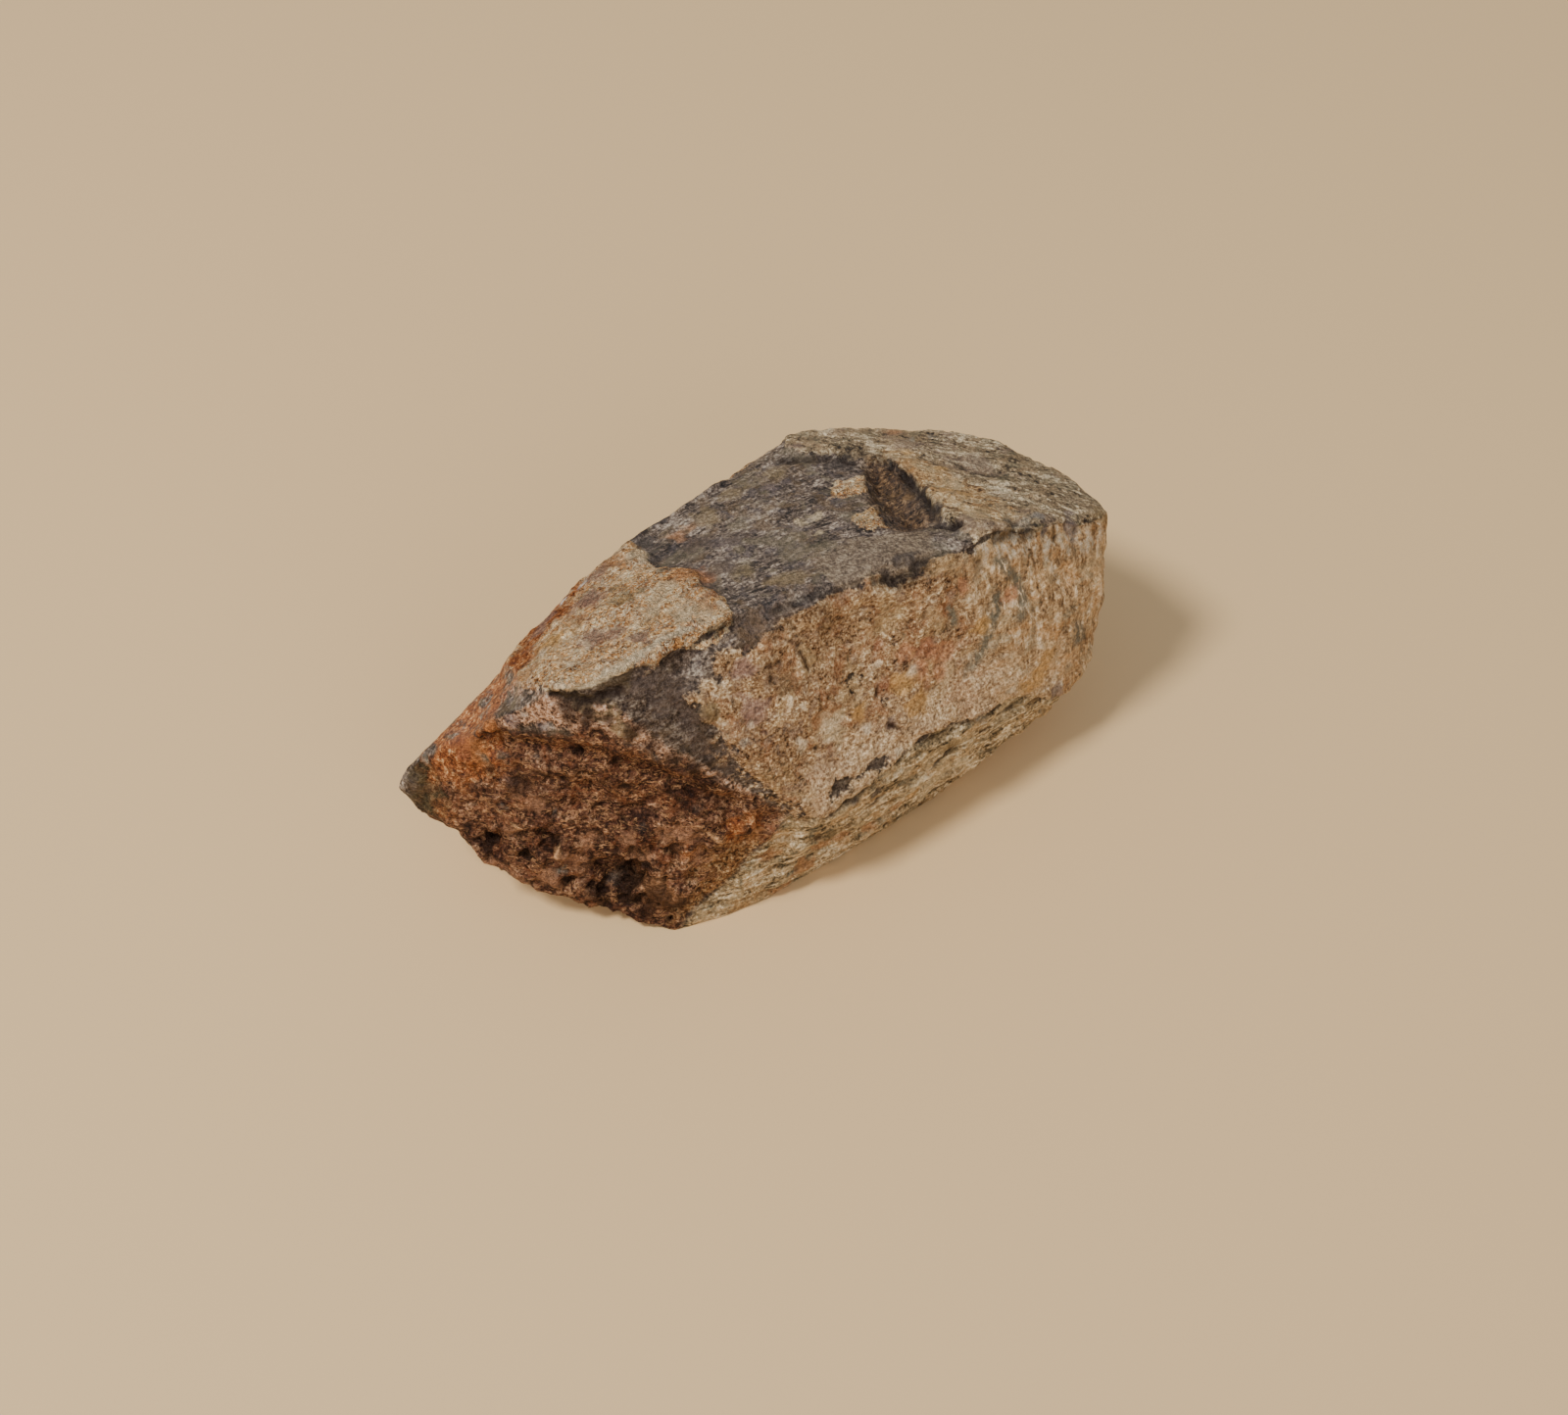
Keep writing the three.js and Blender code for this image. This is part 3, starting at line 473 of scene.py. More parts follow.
STROKES = [
    # cracks of the front crust, cut into the relief and darkened with painted shade
    ("shaded cracks", (72, 46, 32), 0.8, [
        ([(-3, -10.4, 24.1), (-3, -10.8, 23.6), (-3.2, -11.2, 22.8),
         (-3.5, -11.6, 22)], 0.33),
        ([(-2.3, -10.6, 23.9), (-2.2, -11, 23.1), (-2.3, -11.4, 22.1), (-2.4, -11.8, 21.1),
         (-2.1, -12, 20.7)], 0.33),
        ([(-0.3, -10.5, 23.7), (-0, -10.8, 22.9), (0.1, -11.2, 22)], 0.33),
        ([(5.9, -9.6, 24.6), (5.2, -9.7, 24.3), (4.5, -10, 24), (4.6, -10.2, 23.5)], 0.50),
        ([(2.3, -9.3, 25.9), (3.1, -9.4, 25.6), (3.3, -9.7, 24.8)], 0.33),
        ([(-2, -9.6, 25.5), (-0.9, -10, 24.9), (-0.2, -10.3, 24.2)], 0.33),
        ([(-0.4, -12, 20.2), (-0.5, -12.4, 19.4), (-0.8, -12.5, 19.1)], 0.33),
        ([(6.1, -12.2, 18.1), (5.7, -12.6, 17.3)], 0.41),
        ([(6.4, -10.7, 21.6), (7.6, -10.9, 21), (7.7, -11.3, 19.8)], 0.41),
        ([(6.1, -13.7, 14.6), (7.1, -13.9, 13.7)], 0.41),
        ([(-3.1, -13.7, 16.8), (-2.4, -13.9, 16.3), (-0.7, -14, 15.7)], 0.41),
        ([(4.3, -9.9, 24.1), (3.8, -10.2, 23.6), (3.5, -10.4, 23.1)], 0.33),
        ([(-6.8, -11.6, 22.3), (-7, -11.8, 22)], 0.33),
        ([(10.4, -12.5, 16.1), (10.7, -12.8, 15.3)], 0.41),
    ]),
    ("dark laminae", (62, 50, 38), 0.95, [
        ([(22.1, 7, 20.6), (22, 4.6, 21.3), (22.4, 2.5, 21.7), (23.7, 1.3, 21.6),
         (24.5, 0.7, 21.5)], 0.60),
        ([(25.4, 3.3, 20.6), (26.7, 2.1, 20.4), (27.5, 0.7, 20.4), (28.7, -1, 20.4)], 0.60),
        ([(26.9, -0.3, 20.8), (28.3, -1.3, 20.6), (28.7, -2.8, 20.8), (29, -5, 21.2)], 0.60),
        ([(23.4, 4.8, 20.8), (24.5, 3.6, 20.8)], 0.41),
        ([(28.1, 3.2, 19.6), (29.1, 1.6, 19.6), (29.9, -1.1, 20)], 0.33),
        ([(9.4, -14.4, 11.3), (11.5, -14, 11.2), (13.5, -13.8, 10.5)], 0.33),
        ([(16.2, -13.4, 9.2), (18.9, -12.8, 8.8)], 0.33),
        ([(-0.6, -16.4, 9.8), (1.6, -16, 10.1), (3.6, -15.7, 10.3), (5.9, -15.3, 9.6)], 0.41),
        ([(1.1, -15.7, 6.4), (3.3, -15.4, 7), (5, -15.2, 7.5)], 0.33),
        ([(8.1, -14.4, 6.6), (10.1, -14.2, 7.1), (12.3, -14, 8.2)], 0.33),
        ([(15.2, -13.5, 8.3), (17.4, -13, 7.9), (20.1, -12.4, 7.4)], 0.33),
    ]),
    # painted shade in the recesses beside the notch and the right ledge and under the left crust lip;
    # they are also cut into the relief
    ("recess shade", (50, 38, 32), 0.95, [
        ([(13.9, 8.4, 22.3), (14.8, 7.5, 22.4), (15.4, 6.6, 22.5)], 0.50),
        ([(16.2, 10.7, 21.1), (16.9, 8.4, 21.6), (18.6, 8, 21.3)], 0.45),
        ([(19.8, -6, 24.7), (20.7, -6.5, 24.5), (21.6, -6.8, 24.2)], 0.66),
        ([(16, -4.5, 25.5), (16.6, -5.4, 25.6), (17.4, -6.1, 25.6)], 0.66),
        ([(18, 9.4, 21.1), (18.7, 8.5, 21.1), (19.9, 7.5, 21.1)], 0.66),
        ([(-20.4, -6.6, 24.8), (-19.4, -7.6, 24.8), (-17.8, -8.6, 24.7), (-16.6, -9, 25.1),
         (-15.2, -9.2, 25.5)], 0.95),
        ([(16.2, 7.1, 22.2), (17.2, 5.5, 22.3), (17, 1.6, 23.5), (16.1, -2.6, 24.9)], 0.50),
    ]),
    ("pale veins", (208, 160, 116), 0.95, [
        ([(-23.9, -7.6, 10), (-23.2, -8, 11.1), (-22.5, -8.8, 11.3),
         (-21.8, -9.3, 11.8)], 0.41),
        ([(-21.8, -9.3, 11.9), (-22.1, -9.3, 10.6), (-22.3, -9.4, 8.7),
         (-22.5, -9.3, 8)], 0.51),
        ([(-22.4, -8.6, 12.4), (-21.8, -9.3, 11.9)], 0.41),
        ([(-21.3, -9.3, 14), (-20.9, -9.6, 13.4), (-20.1, -10.1, 13)], 0.41),
        ([(-18.3, -10.6, 17.1), (-17.2, -11.3, 16), (-16.3, -11.9, 14.9)], 0.36),
        ([(-15.4, -12.1, 17.3), (-13.6, -13.1, 16.9), (-13, -13.6, 15.6),
         (-13.3, -13.6, 14.2)], 0.36),
        ([(-25.1, -5.3, 12.8), (-24.1, -6.4, 12.9), (-22.9, -7.7, 13.4)], 0.36),
        ([(-23.4, -5.8, 17), (-21.9, -7.3, 18), (-20.9, -8.5, 18.2)], 0.36),
        ([(-19.8, -9.7, 17.4), (-18.4, -10.6, 16.6), (-16.5, -11.7, 16.2)], 0.36),
        ([(-19.4, -10.3, 15), (-18.1, -11.1, 14), (-17, -11.8, 13.6)], 0.36),
        ([(-20.6, -10, 11.1), (-19.6, -10.7, 10.7), (-18.9, -11.3, 9.4)], 0.41),
        ([(-21.4, -8.5, 16.2), (-20, -9.6, 17), (-19.1, -10.2, 16.8)], 0.38),
        ([(-20.4, -9.5, 15.9), (-18.3, -10.9, 14.9), (-15.8, -12.3, 14.1)], 0.38),
        ([(-19.6, -9.7, 18.4), (-17, -11.2, 17.7), (-14.1, -12.9, 16.1),
         (-13.2, -13.5, 15.2)], 0.38),
        ([(-15.8, -12.3, 14.1), (-15.4, -12.8, 12.5), (-15.2, -13.1, 10.9)], 0.38),
        ([(-14.5, -12.6, 17.3), (-13.1, -13.4, 16.1), (-13.3, -13.8, 12.9),
         (-14.2, -13.7, 10)], 0.41),
        ([(-19.6, -10.5, 12.4), (-18.5, -11, 13), (-17.4, -11.6, 13.3)], 0.38),
        ([(-23.7, -5.8, 16.4), (-21.1, -8.6, 17.1), (-19.2, -10.3, 15.6)], 0.38),
        ([(-18, -11.9, 8.3), (-16.4, -12.7, 9.2), (-14.9, -13.6, 8.4)], 0.38),
        ([(-13, -14.1, 11.7), (-11.3, -14.5, 11.6), (-9.8, -15, 9.8)], 0.38),
        ([(-25.5, -5.2, 11.7), (-24.4, -6.8, 10.6), (-23.5, -7.8, 10.7)], 0.38),
    ]),
    ("brown threads", (116, 74, 44), 0.5, [
        ([(-11.4, 0.6, 24.1), (-10.8, 0.6, 24.3), (-10.6, -0.3, 24.6),
         (-11, -1.1, 24.8)], 0.36),
        ([(-8.7, -0.1, 24.8), (-8.1, -1.8, 25.5), (-8.1, -3.7, 26.2), (-8.6, -5.3, 26.7)], 0.36),
        ([(-16.2, -2.9, 24.7), (-15.6, -4.1, 25.2), (-14.6, -4, 25.4)], 0.36),
        ([(-17.6, -2, 23.9), (-17.5, -4.2, 25), (-16.6, -5.7, 25.7)], 0.36),
        ([(-13.9, -3.6, 25.3), (-12.8, -4.1, 25.7), (-12, -5.3, 26.2)], 0.36),
        ([(-16.7, -7.2, 26.2), (-15.5, -7.4, 26.5), (-14.3, -7.6, 26.7)], 0.36),
        ([(-10.8, -2.4, 25.4), (-10.4, -4, 26), (-10.5, -5.5, 26.5)], 0.36),
        ([(-14.7, 3.4, 22), (-14.8, 1.2, 23.2), (-14.3, -0.3, 24)], 0.36),
    ]),
    ("cream threads", (240, 216, 176), 0.42, [
        ([(-11.5, 1.3, 23.9), (-10.6, 1.5, 23.9), (-10, 0.5, 24.4), (-10.1, -0.9, 24.9),
         (-11, -1.7, 25.1), (-11.8, -1.1, 24.7), (-11.9, 0.2, 24.2)], 0.32),
        ([(-8.3, 0.7, 24.6), (-7.6, -1.2, 25.4), (-7.6, -3.5, 26.2), (-8.2, -5.4, 26.8)], 0.36),
        ([(-7.6, 1.2, 24.5), (-6.9, -0.8, 25.4), (-6.9, -3.7, 26.4), (-7.2, -5.6, 26.9)], 0.36),
        ([(-9.6, -0.9, 25), (-9.2, -2.5, 25.6), (-9.5, -4.4, 26.3), (-10.4, -5.8, 26.6)], 0.32),
        ([(-16.6, -0.8, 23.6), (-15.7, -1.7, 24.3), (-15.3, -3.3, 25),
         (-16.1, -4.7, 25.4)], 0.32),
        ([(-14.7, 1.9, 22.8), (-15, -0.1, 23.7), (-14.2, -1.4, 24.5)], 0.32),
        ([(-17.3, 0.9, 22.3), (-16.3, 0.8, 22.9), (-15.4, 1.4, 22.8), (-14.6, 0.9, 23.4)], 0.32),
        ([(-13.9, -2.5, 24.9), (-12.8, -3, 25.3), (-12.1, -4.5, 25.9)], 0.32),
        ([(-18, -3.6, 24.6), (-17.1, -5.3, 25.4), (-15.7, -5.6, 25.8),
         (-14.3, -6, 26.1)], 0.36),
        ([(-7.1, 4.8, 23.3), (-6.9, 2.8, 24), (-6.7, 1.2, 24.7)], 0.36),
        ([(-8.5, 6.5, 22.4), (-8.2, 4.8, 23.1), (-7.8, 3.1, 23.8)], 0.36),
        ([(-6.3, -4.1, 26.5), (-5.4, -5.5, 26.9), (-5, -6.8, 27.3)], 0.44),
        ([(-18.4, -5.8, 25.4), (-17.6, -6.3, 25.8), (-16.4, -6.5, 26), (-15, -6.3, 26.1),
         (-13.7, -6.2, 26.3)], 0.32),
        ([(-10.7, 6.5, 21.7), (-11.2, 4.1, 22.8), (-11.2, 2.7, 23.4)], 0.32),
    ]),
    ("cream rim", (216, 198, 166), 0.7, [
        ([(-19.6, -6.3, 25.5), (-18.5, -7.3, 25.7), (-17.2, -7.9, 25.9), (-15.3, -8.3, 26.8),
         (-13.2, -8.1, 27), (-11.1, -7.6, 27.2), (-9.4, -7.5, 27.4),
         (-8.2, -7.5, 27.4)], 0.48),
    ]),
    ("dark top edge", (66, 52, 42), 0.6, [
        ([(-9.3, 7.6, 21.9), (-7.3, 8.4, 22.1), (-4.8, 8.7, 22.1)], 0.41),
    ]),
]

# %% [markdown]
# ## Relief
#
# The crust is a thin layer with a crisp broken lip, the broken end is spongy, and the layers stand out
# like the edge of a worn book. A displacement texture could do one of these. Moving the vertices
# along their normals from the same distances as the colours keeps every lip exactly where its
# colour changes.

# %% Noise for the relief
broad = grain(3.0, 11.0)
medium = grain(1.3, 17.0)
small = grain(0.62, 23.0)
streaks_along = grain(0.75, 29.0, (4.5, 1, 1))
streaks_up = grain(0.8, 31.0, (1, 1, 4.0))
ragged = 1 + 0.55 * small + 0.55 * medium
print("broad noise:", round(float(broad.min()), 2), "to", round(float(broad.max()), 2))


# %% How near each vertex is to spots and lines
def near_spots(spots):
    """1 at the middle of a spot and 0 outside them all."""
    weight = np.zeros(count)
    for *middle, radius in spots:
        gap = np.linalg.norm(place - np.array(middle), axis=1) * ragged
        weight = either(weight, 1 - fade(gap, 0.45 * radius, 1.3 * radius))
    return weight


def near_lines(lines):
    """1 on a line and 0 farther from it than its own reach."""
    weight = np.zeros(count)
    for line, reach in lines:
        for start, end in zip(line, line[1:]):
            start, run = np.array(start), np.array(end) - np.array(start)
            along = np.clip((place - start) @ run / (run @ run), 0, 1)
            gap = np.linalg.norm(place - start - along[:, None] * run, axis=1)
            weight = either(weight, 1 - fade(gap * (1 + 0.35 * small), 0.25 * reach, reach))
    return weight


marks = {name: near_spots(spots) for name, _, _, spots in TOUCHES}
marks.update({name: near_lines(lines) for name, _, _, lines in STROKES})
lip_and_groove_shade = near_lines(LIP_AND_GROOVE_SHADE)
print("touches and strokes:", len(marks))

# %% Move the skin
swirl = np.sin(9.0 * grain(1.7, 51.0))
# a pit belongs to the broken end even where its floor looks up
broken = either(broken, 3.0 * marks["shaded pits"] - 2.5)
sponge = 1.1 * broad + 0.7 * medium + 0.5 * small
on_broken = fade(broken, -0.4, 0.6)
on_layered = fade(layered, -0.3, 0.4) * (1 - on_broken)
on_banded = fade(banded, -0.2, 0.3)
on_cream = fade(cream, -0.14, 0.14)
on_tan = fade(tan, -0.14, 0.14) * (1 - on_layered) * (1 - on_broken)
on_notch = fade(notch, -0.1, 0.5)
fibrous = fade(x + 0.15 * z, 17.0, 21.0)

FRONT_LAYER = 0.95  # mm from one layer to the next
END_LAYER = 1.15
across_layers = z + 0.1 * x + 0.9 * grain(6.0, 37.0) + 0.45 * grain(1.8, 41.0)
front_layers = np.sin(across_layers * 2 * math.pi / FRONT_LAYER)
across_bands = 0.63 * x + 0.72 * y + 0.3 * z + 0.8 * grain(5.0, 43.0) + 0.35 * grain(1.6, 47.0)
end_bands = np.sin(across_bands * 2 * math.pi / END_LAYER)

rise = 0.07 * streaks_along + 0.06 * small
lip = 1 - 0.75 * fade(facing[:, 1], 0.12, 0.45)  # the crust is thinner towards the back
rise += lip * on_cream * (0.24 + 0.11 * swirl + 0.11 * small + 0.08 * medium)
rise += 0.08 * marks["cream rim"] + 0.07 * marks["cream threads"]
rise += lip * on_tan * (0.22 + 0.16 * medium + 0.11 * small + 0.24 * broad)
rise += fibrous * on_tan * 0.20 * streaks_up
rise += on_banded * (0.16 + 0.05 * end_bands + 0.05 * small)
rise += on_layered * (0.05 + 0.09 * front_layers + 0.10 * small + 0.08 * medium)
rise += on_broken * (0.42 * sponge - 0.62 * marks["shaded pits"] + 0.28 * marks["pale veins"])
rise += fade(shelf, -0.2, 0.3) * (0.20 * medium + 0.16 * small)
rise += on_notch * (0.25 * medium + 0.22 * small - 0.15)
rise -= 0.30 * lip_and_groove_shade + 0.20 * marks["shaded cracks"] + 0.14 * marks["dark laminae"]
rise -= 0.35 * marks["recess shade"]
rise *= fade(z, 0.05, 1.2) * (1 - 0.7 * fade(x, 29.5, 31.5))  # flat foot, smooth right end
moved = place + normal * rise[:, None]
moved[:, 2] = np.maximum(moved[:, 2], 0)
low, high = [np.array(corner) / MM for corner in solid_box]
moved = np.clip(moved, low, high)
mesh.vertices.foreach_set("co", (moved * MM).ravel())
mesh.update()
print("relief, mm:", round(float(rise.min()), 2), "to", round(float(rise.max()), 2))


# %% Keep the distances on the vertices, for the material
def keep(name, values):
    """Stores one number for each vertex under a name that the material can read."""
    layer = mesh.attributes.new(name, "FLOAT", "POINT")
    layer.data.foreach_set("value", np.ascontiguousarray(values, dtype=np.float32))


hollow = even_out(rise[:, None], 6)[:, 0] - rise  # mm below the vertices around it
rust_band = fade(both(inside(RUST_BAND, x, y), looks_up + 1.5) + 0.9 * broad, -1.2, 0.8)
KEPT = {
    "cream": cream, "tan": tan, "banded": banded, "layered": layered, "broken": broken,
    "shelf": shelf, "notch": notch, "smooth_flake": smooth_flake, "cream_bands": cream_bands,
    "olive_crust": olive_crust, "fibrous": fibrous, "steep": fade(looks_front, -1.0, 0.3),
    "hollow": np.clip(hollow * 6, -1, 1), "rust": either(rust_band, near_spots(SPOTS["rust"])),
    "dark": lip_and_groove_shade, "green": near_lines(GREEN_VEINS), "pale_rim": near_lines(PALE_RIM),
    "far_crust": near_lines(FAR_CRUST),
}
for name in ["pale_low", "glint", "tip", "tan_grains"]:
    KEPT[name] = near_spots(SPOTS[name])
for name, values in KEPT.items():
    keep(name, values)
print("kept on the vertices:", len(KEPT))

# %% Paint the touches and strokes over each other
tint = np.tile(srgb(120, 95, 70)[:3], (count, 1))
cover = np.zeros(count)
for name, shade, strength, _ in TOUCHES + STROKES:
    share = marks[name] * strength
    now = share + cover * (1 - share)
    under = (cover * (1 - share))[:, None]
    mix = tint * under + np.array(srgb(*shade)[:3]) * share[:, None]
    mix /= np.maximum(now, 1e-6)[:, None]
    tint = np.where(now[:, None] > 1e-4, mix, tint)
    cover = now
keep("cover", cover)
painted = mesh.attributes.new("tint", "FLOAT_COLOR", "POINT")
rgba = np.column_stack([tint, np.ones(count)]).astype(np.float32)
painted.data.foreach_set("color", rgba.ravel())
print("painted share of vertices:", round(float(np.mean(cover > 0.1)), 2))

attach(stone, "root")
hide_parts("crystal")

# %% [markdown]
# ## The stone's material
#
# Each zone is a mineral or a weathering product with its own colour and grain. They could be separate
# materials, but then every border would be a hard line between faces. One material that mixes them
# by the kept distances lets each border break up in fine grains, as a real flaked edge does.

# %% Small helpers for nodes
material = bpy.data.materials.new("weathered bismutotantalite")
material.use_nodes = True
tree = material.node_tree
tree.nodes.clear()


def put(socket, value):
    """Links a socket to another or sets it to a constant."""
    if isinstance(value, bpy.types.NodeSocket):
        tree.links.new(value, socket)
    else:
        socket.default_value = value


def do(operation, a, b=0.0, clamp=False):
    """One step of arithmetic."""
    n = tree.nodes.new("ShaderNodeMath")
    n.operation = operation
    n.use_clamp = clamp
    put(n.inputs[0], a)
    put(n.inputs[1], b)
    return n.outputs[0]


def kept(name, output="Fac"):
    """What the vertices hold under this name."""
    n = tree.nodes.new("ShaderNodeAttribute")
    n.attribute_name = name
    return n.outputs[output]


def spread(value, low, high):
    """The same soft step as fade, as a node."""
    n = tree.nodes.new("ShaderNodeMapRange")
    n.interpolation_type = "SMOOTHSTEP"
    put(n.inputs["Value"], value)
    put(n.inputs["From Min"], low)
    put(n.inputs["From Max"], high)
    return n.outputs["Result"]


def mixed(share, below, above):
    """Lays one colour over another where the share is high."""
    n = tree.nodes.new("ShaderNodeMix")
    n.data_type = "RGBA"
    put(n.inputs[0], share)
    put(n.inputs[6], below)
    put(n.inputs[7], above)
    return n.outputs[2]


def shades(value, stops):
    """A colour ramp, with each stop as its place, red, green and blue."""
    n = tree.nodes.new("ShaderNodeValToRGB")
    ramp = n.color_ramp
    for at, *_ in stops[2:]:
        ramp.elements.new(at)
    for element, (at, *shade) in zip(ramp.elements, stops):
        element.position = at
        element.color = srgb(*shade)
    put(n.inputs["Fac"], value)
    return n.outputs["Color"]


own_place = tree.nodes.new("ShaderNodeTexCoord").outputs["Object"]


def placed(scale=(1, 1, 1), turn=0.0, shift=0.0):
    """The stone's own coordinates in mm, turned about Z, squeezed and moved along."""
    turned = tree.nodes.new("ShaderNodeMapping")
    turned.inputs["Rotation"].default_value = (0, 0, math.radians(turn))
    turned.inputs["Scale"].default_value = (1000, 1000, 1000)
    put(turned.inputs["Vector"], own_place)
    squeezed = tree.nodes.new("ShaderNodeMapping")
    squeezed.inputs["Scale"].default_value = scale
    squeezed.inputs["Location"].default_value = (shift, shift, shift)
    put(squeezed.inputs["Vector"], turned.outputs[0])
    return squeezed.outputs[0]


def speckle(where, size, detail=4.0, rough=0.6, bend=0.0):
    """Noise from 0 to 1 with features of this size in mm."""
    n = tree.nodes.new("ShaderNodeTexNoise")
    put(n.inputs["Vector"], where)
    n.inputs["Scale"].default_value = 1 / size
    n.inputs["Detail"].default_value = detail
    n.inputs["Roughness"].default_value = rough
    n.inputs["Distortion"].default_value = bend
    full = tree.nodes.new("ShaderNodeMapRange")
    full.inputs["From Min"].default_value = 0.30
    full.inputs["From Max"].default_value = 0.70
    put(full.inputs["Value"], n.outputs["Fac"])
    return full.outputs["Result"]


def sum_of(*parts):
    """Adds (value, weight) pairs."""
    total = 0.0
    for value, weight in parts:
        total = do("ADD", total, do("MULTIPLY", value, weight))
    return total


def times(a, b):
    """Product of two values."""
    return do("MULTIPLY", a, b)


def scaled(colour, factor):
    """A colour made darker or lighter by a factor."""
    n = tree.nodes.new("ShaderNodeVectorMath")
    n.operation = "SCALE"
    put(n.inputs[0], colour)
    put(n.inputs["Scale"], factor)
    return n.outputs[0]


# %% Grain at several sizes
everywhere = placed()
dust = speckle(everywhere, 0.27, 2.0, 0.7)
sand = speckle(everywhere, 0.52, 3.0, 0.7, 0.3)
grit = speckle(everywhere, 1.0, 4.0, 0.65, 0.4)
cloud = speckle(everywhere, 3.2, 3.0, 0.55)
blots = speckle(placed((1.0, 1.0, 1.0), 50.0), 1.9, 3.0, 0.6)
along = speckle(placed((0.30, 1.0, 1.0), -8.0), 0.42, 4.0, 0.65, 0.3)
upright = speckle(placed((1.0, 1.0, 0.13)), 0.42, 3.0, 0.6, 0.25)
warm = speckle(placed(shift=40.0), 2.4, 3.0, 0.62, 0.5)
cool = speckle(placed(shift=80.0), 1.5, 3.0, 0.62, 0.5)
third = speckle(placed(shift=120.0), 3.6, 3.0, 0.62, 0.5)
broken_grain = speckle(placed((0.45, 1.0, 1.0), 36.0), 0.5, 4.0, 0.68, 0.6)


def winding(where, size, width, bend=1.4):
    """Thin wandering lines, 1 along them and 0 away from them."""
    field = speckle(where, size, 2.0, 0.5, bend)
    return spread(do("ABSOLUTE", do("SUBTRACT", field, 0.5)), width, 0.0)


net = winding(everywhere, 1.3, 0.16)
fine_net = winding(everywhere, 0.6, 0.16)
threads = winding(placed((0.32, 1.0, 1.0), 34.0), 0.7, 0.13)
cracks = winding(everywhere, 2.2, 0.05)
dashes = spread(speckle(placed((0.4, 1.0, 1.5)), 0.5, 2.0), 0.30, 0.10)
laminae = speckle(placed((0.13, 0.6, 1.0), 3.0), 0.55, 4.0, 0.62, 0.9)
end_laminae = speckle(placed((0.14, 1.0, 1.0), 39.0), 0.5, 4.0, 0.65, 0.9)
curls = winding(placed(shift=20.0), 0.95, 0.15, 2.0)
dark_curls = winding(placed(shift=60.0), 0.95, 0.13, 2.0)
shaded_pores = spread(speckle(everywhere, 0.34, 1.5, 0.5), 0.36, 0.16)


def stained(base, warm_stain, cool_stain, third_stain, share=0.5):
    """Lays three soft stains over a colour, each with its own pattern."""
    base = mixed(times(spread(warm, 0.50, 0.85), share), base, srgb(*warm_stain))
    base = mixed(times(spread(cool, 0.55, 0.85), share), base, srgb(*cool_stain))
    return mixed(times(spread(third, 0.55, 0.85), share), base, srgb(*third_stain))


# %% The dark mineral under the crust
dark_value = sum_of((along, 0.32), (sand, 0.18), (dust, 0.26), (cloud, 0.24))
dark_mineral = shades(dark_value, [
    (0.31, 36, 30, 27), (0.43, 82, 69, 60), (0.56, 132, 115, 102), (0.71, 192, 176, 158),
])
dark_mineral = stained(dark_mineral, (116, 92, 64), (84, 76, 78), (124, 112, 88), 0.5)
# painted shade: the dark mineral is darker and browner on the faces that look to the front
shaded_steep_mineral = mixed(sand, srgb(38, 28, 22), srgb(84, 66, 50))
dark_mineral = mixed(times(kept("steep"), 0.58), dark_mineral, shaded_steep_mineral)
flake_colour = shades(sum_of((sand, 0.5), (dust, 0.5)), [
    (0.2, 88, 72, 58), (0.5, 128, 109, 89), (0.8, 158, 140, 116),
])

# %% Cream crust of the top
cream_value = sum_of((sand, 0.22), (dust, 0.26), (grit, 0.26), (cloud, 0.26))
cream_crust = shades(cream_value, [
    (0.28, 86, 55, 33), (0.41, 170, 117, 70), (0.54, 232, 178, 118), (0.69, 255, 232, 188),
])
cream_crust = stained(cream_crust, (184, 124, 72), (142, 110, 94), (204, 170, 120), 0.55)
patchy_net = times(net, spread(warm, 0.15, 0.55))
cream_crust = mixed(times(patchy_net, 0.50), cream_crust, srgb(244, 218, 174))
cream_crust = mixed(times(dark_curls, 0.50), cream_crust, srgb(112, 70, 40))
cream_crust = mixed(times(curls, 0.62), cream_crust, srgb(255, 238, 202))
cream_crust = mixed(times(dashes, 0.30), cream_crust, srgb(96, 62, 38))

# %% Tan crust of the front, granular on the left and fibrous on the right
tan_value = sum_of((sand, 0.23), (dust, 0.33), (grit, 0.20), (cloud, 0.24))
granular = shades(tan_value, [
    (0.27, 60, 38, 25), (0.41, 130, 95, 64), (0.56, 178, 143, 104), (0.74, 236, 213, 176),
])
granular = stained(granular, (158, 104, 68), (150, 124, 104), (190, 160, 116), 0.5)
granular = mixed(times(dashes, 0.55), granular, srgb(98, 66, 42))
granular = mixed(times(times(cracks, spread(blots, 0.6, 0.3)), 0.6), granular, srgb(84, 56, 38))
granular = mixed(times(fine_net, 0.18), granular, srgb(214, 192, 158))
fibres = shades(sum_of((upright, 0.46), (dust, 0.20), (grit, 0.12), (cloud, 0.22)), [
    (0.24, 92, 72, 52), (0.40, 154, 122, 88), (0.56, 198, 164, 122), (0.76, 238, 216, 184),
])
fibres = stained(fibres, (190, 138, 84), (160, 146, 118), (206, 174, 130), 0.45)
tan_crust = mixed(kept("fibrous"), granular, fibres)
pale_grains = mixed(dust, srgb(158, 122, 86), srgb(255, 228, 188))
tan_crust = mixed(times(kept("pale_low"), 0.45), tan_crust, pale_grains)
bleached = times(kept("pale_rim"), spread(upright, 0.30, 0.95))
tan_crust = mixed(bleached, tan_crust, srgb(194, 178, 154))
veined = times(kept("green"), spread(upright, 0.95, 0.45))
tan_crust = mixed(times(veined, 0.9), tan_crust, srgb(112, 106, 90))

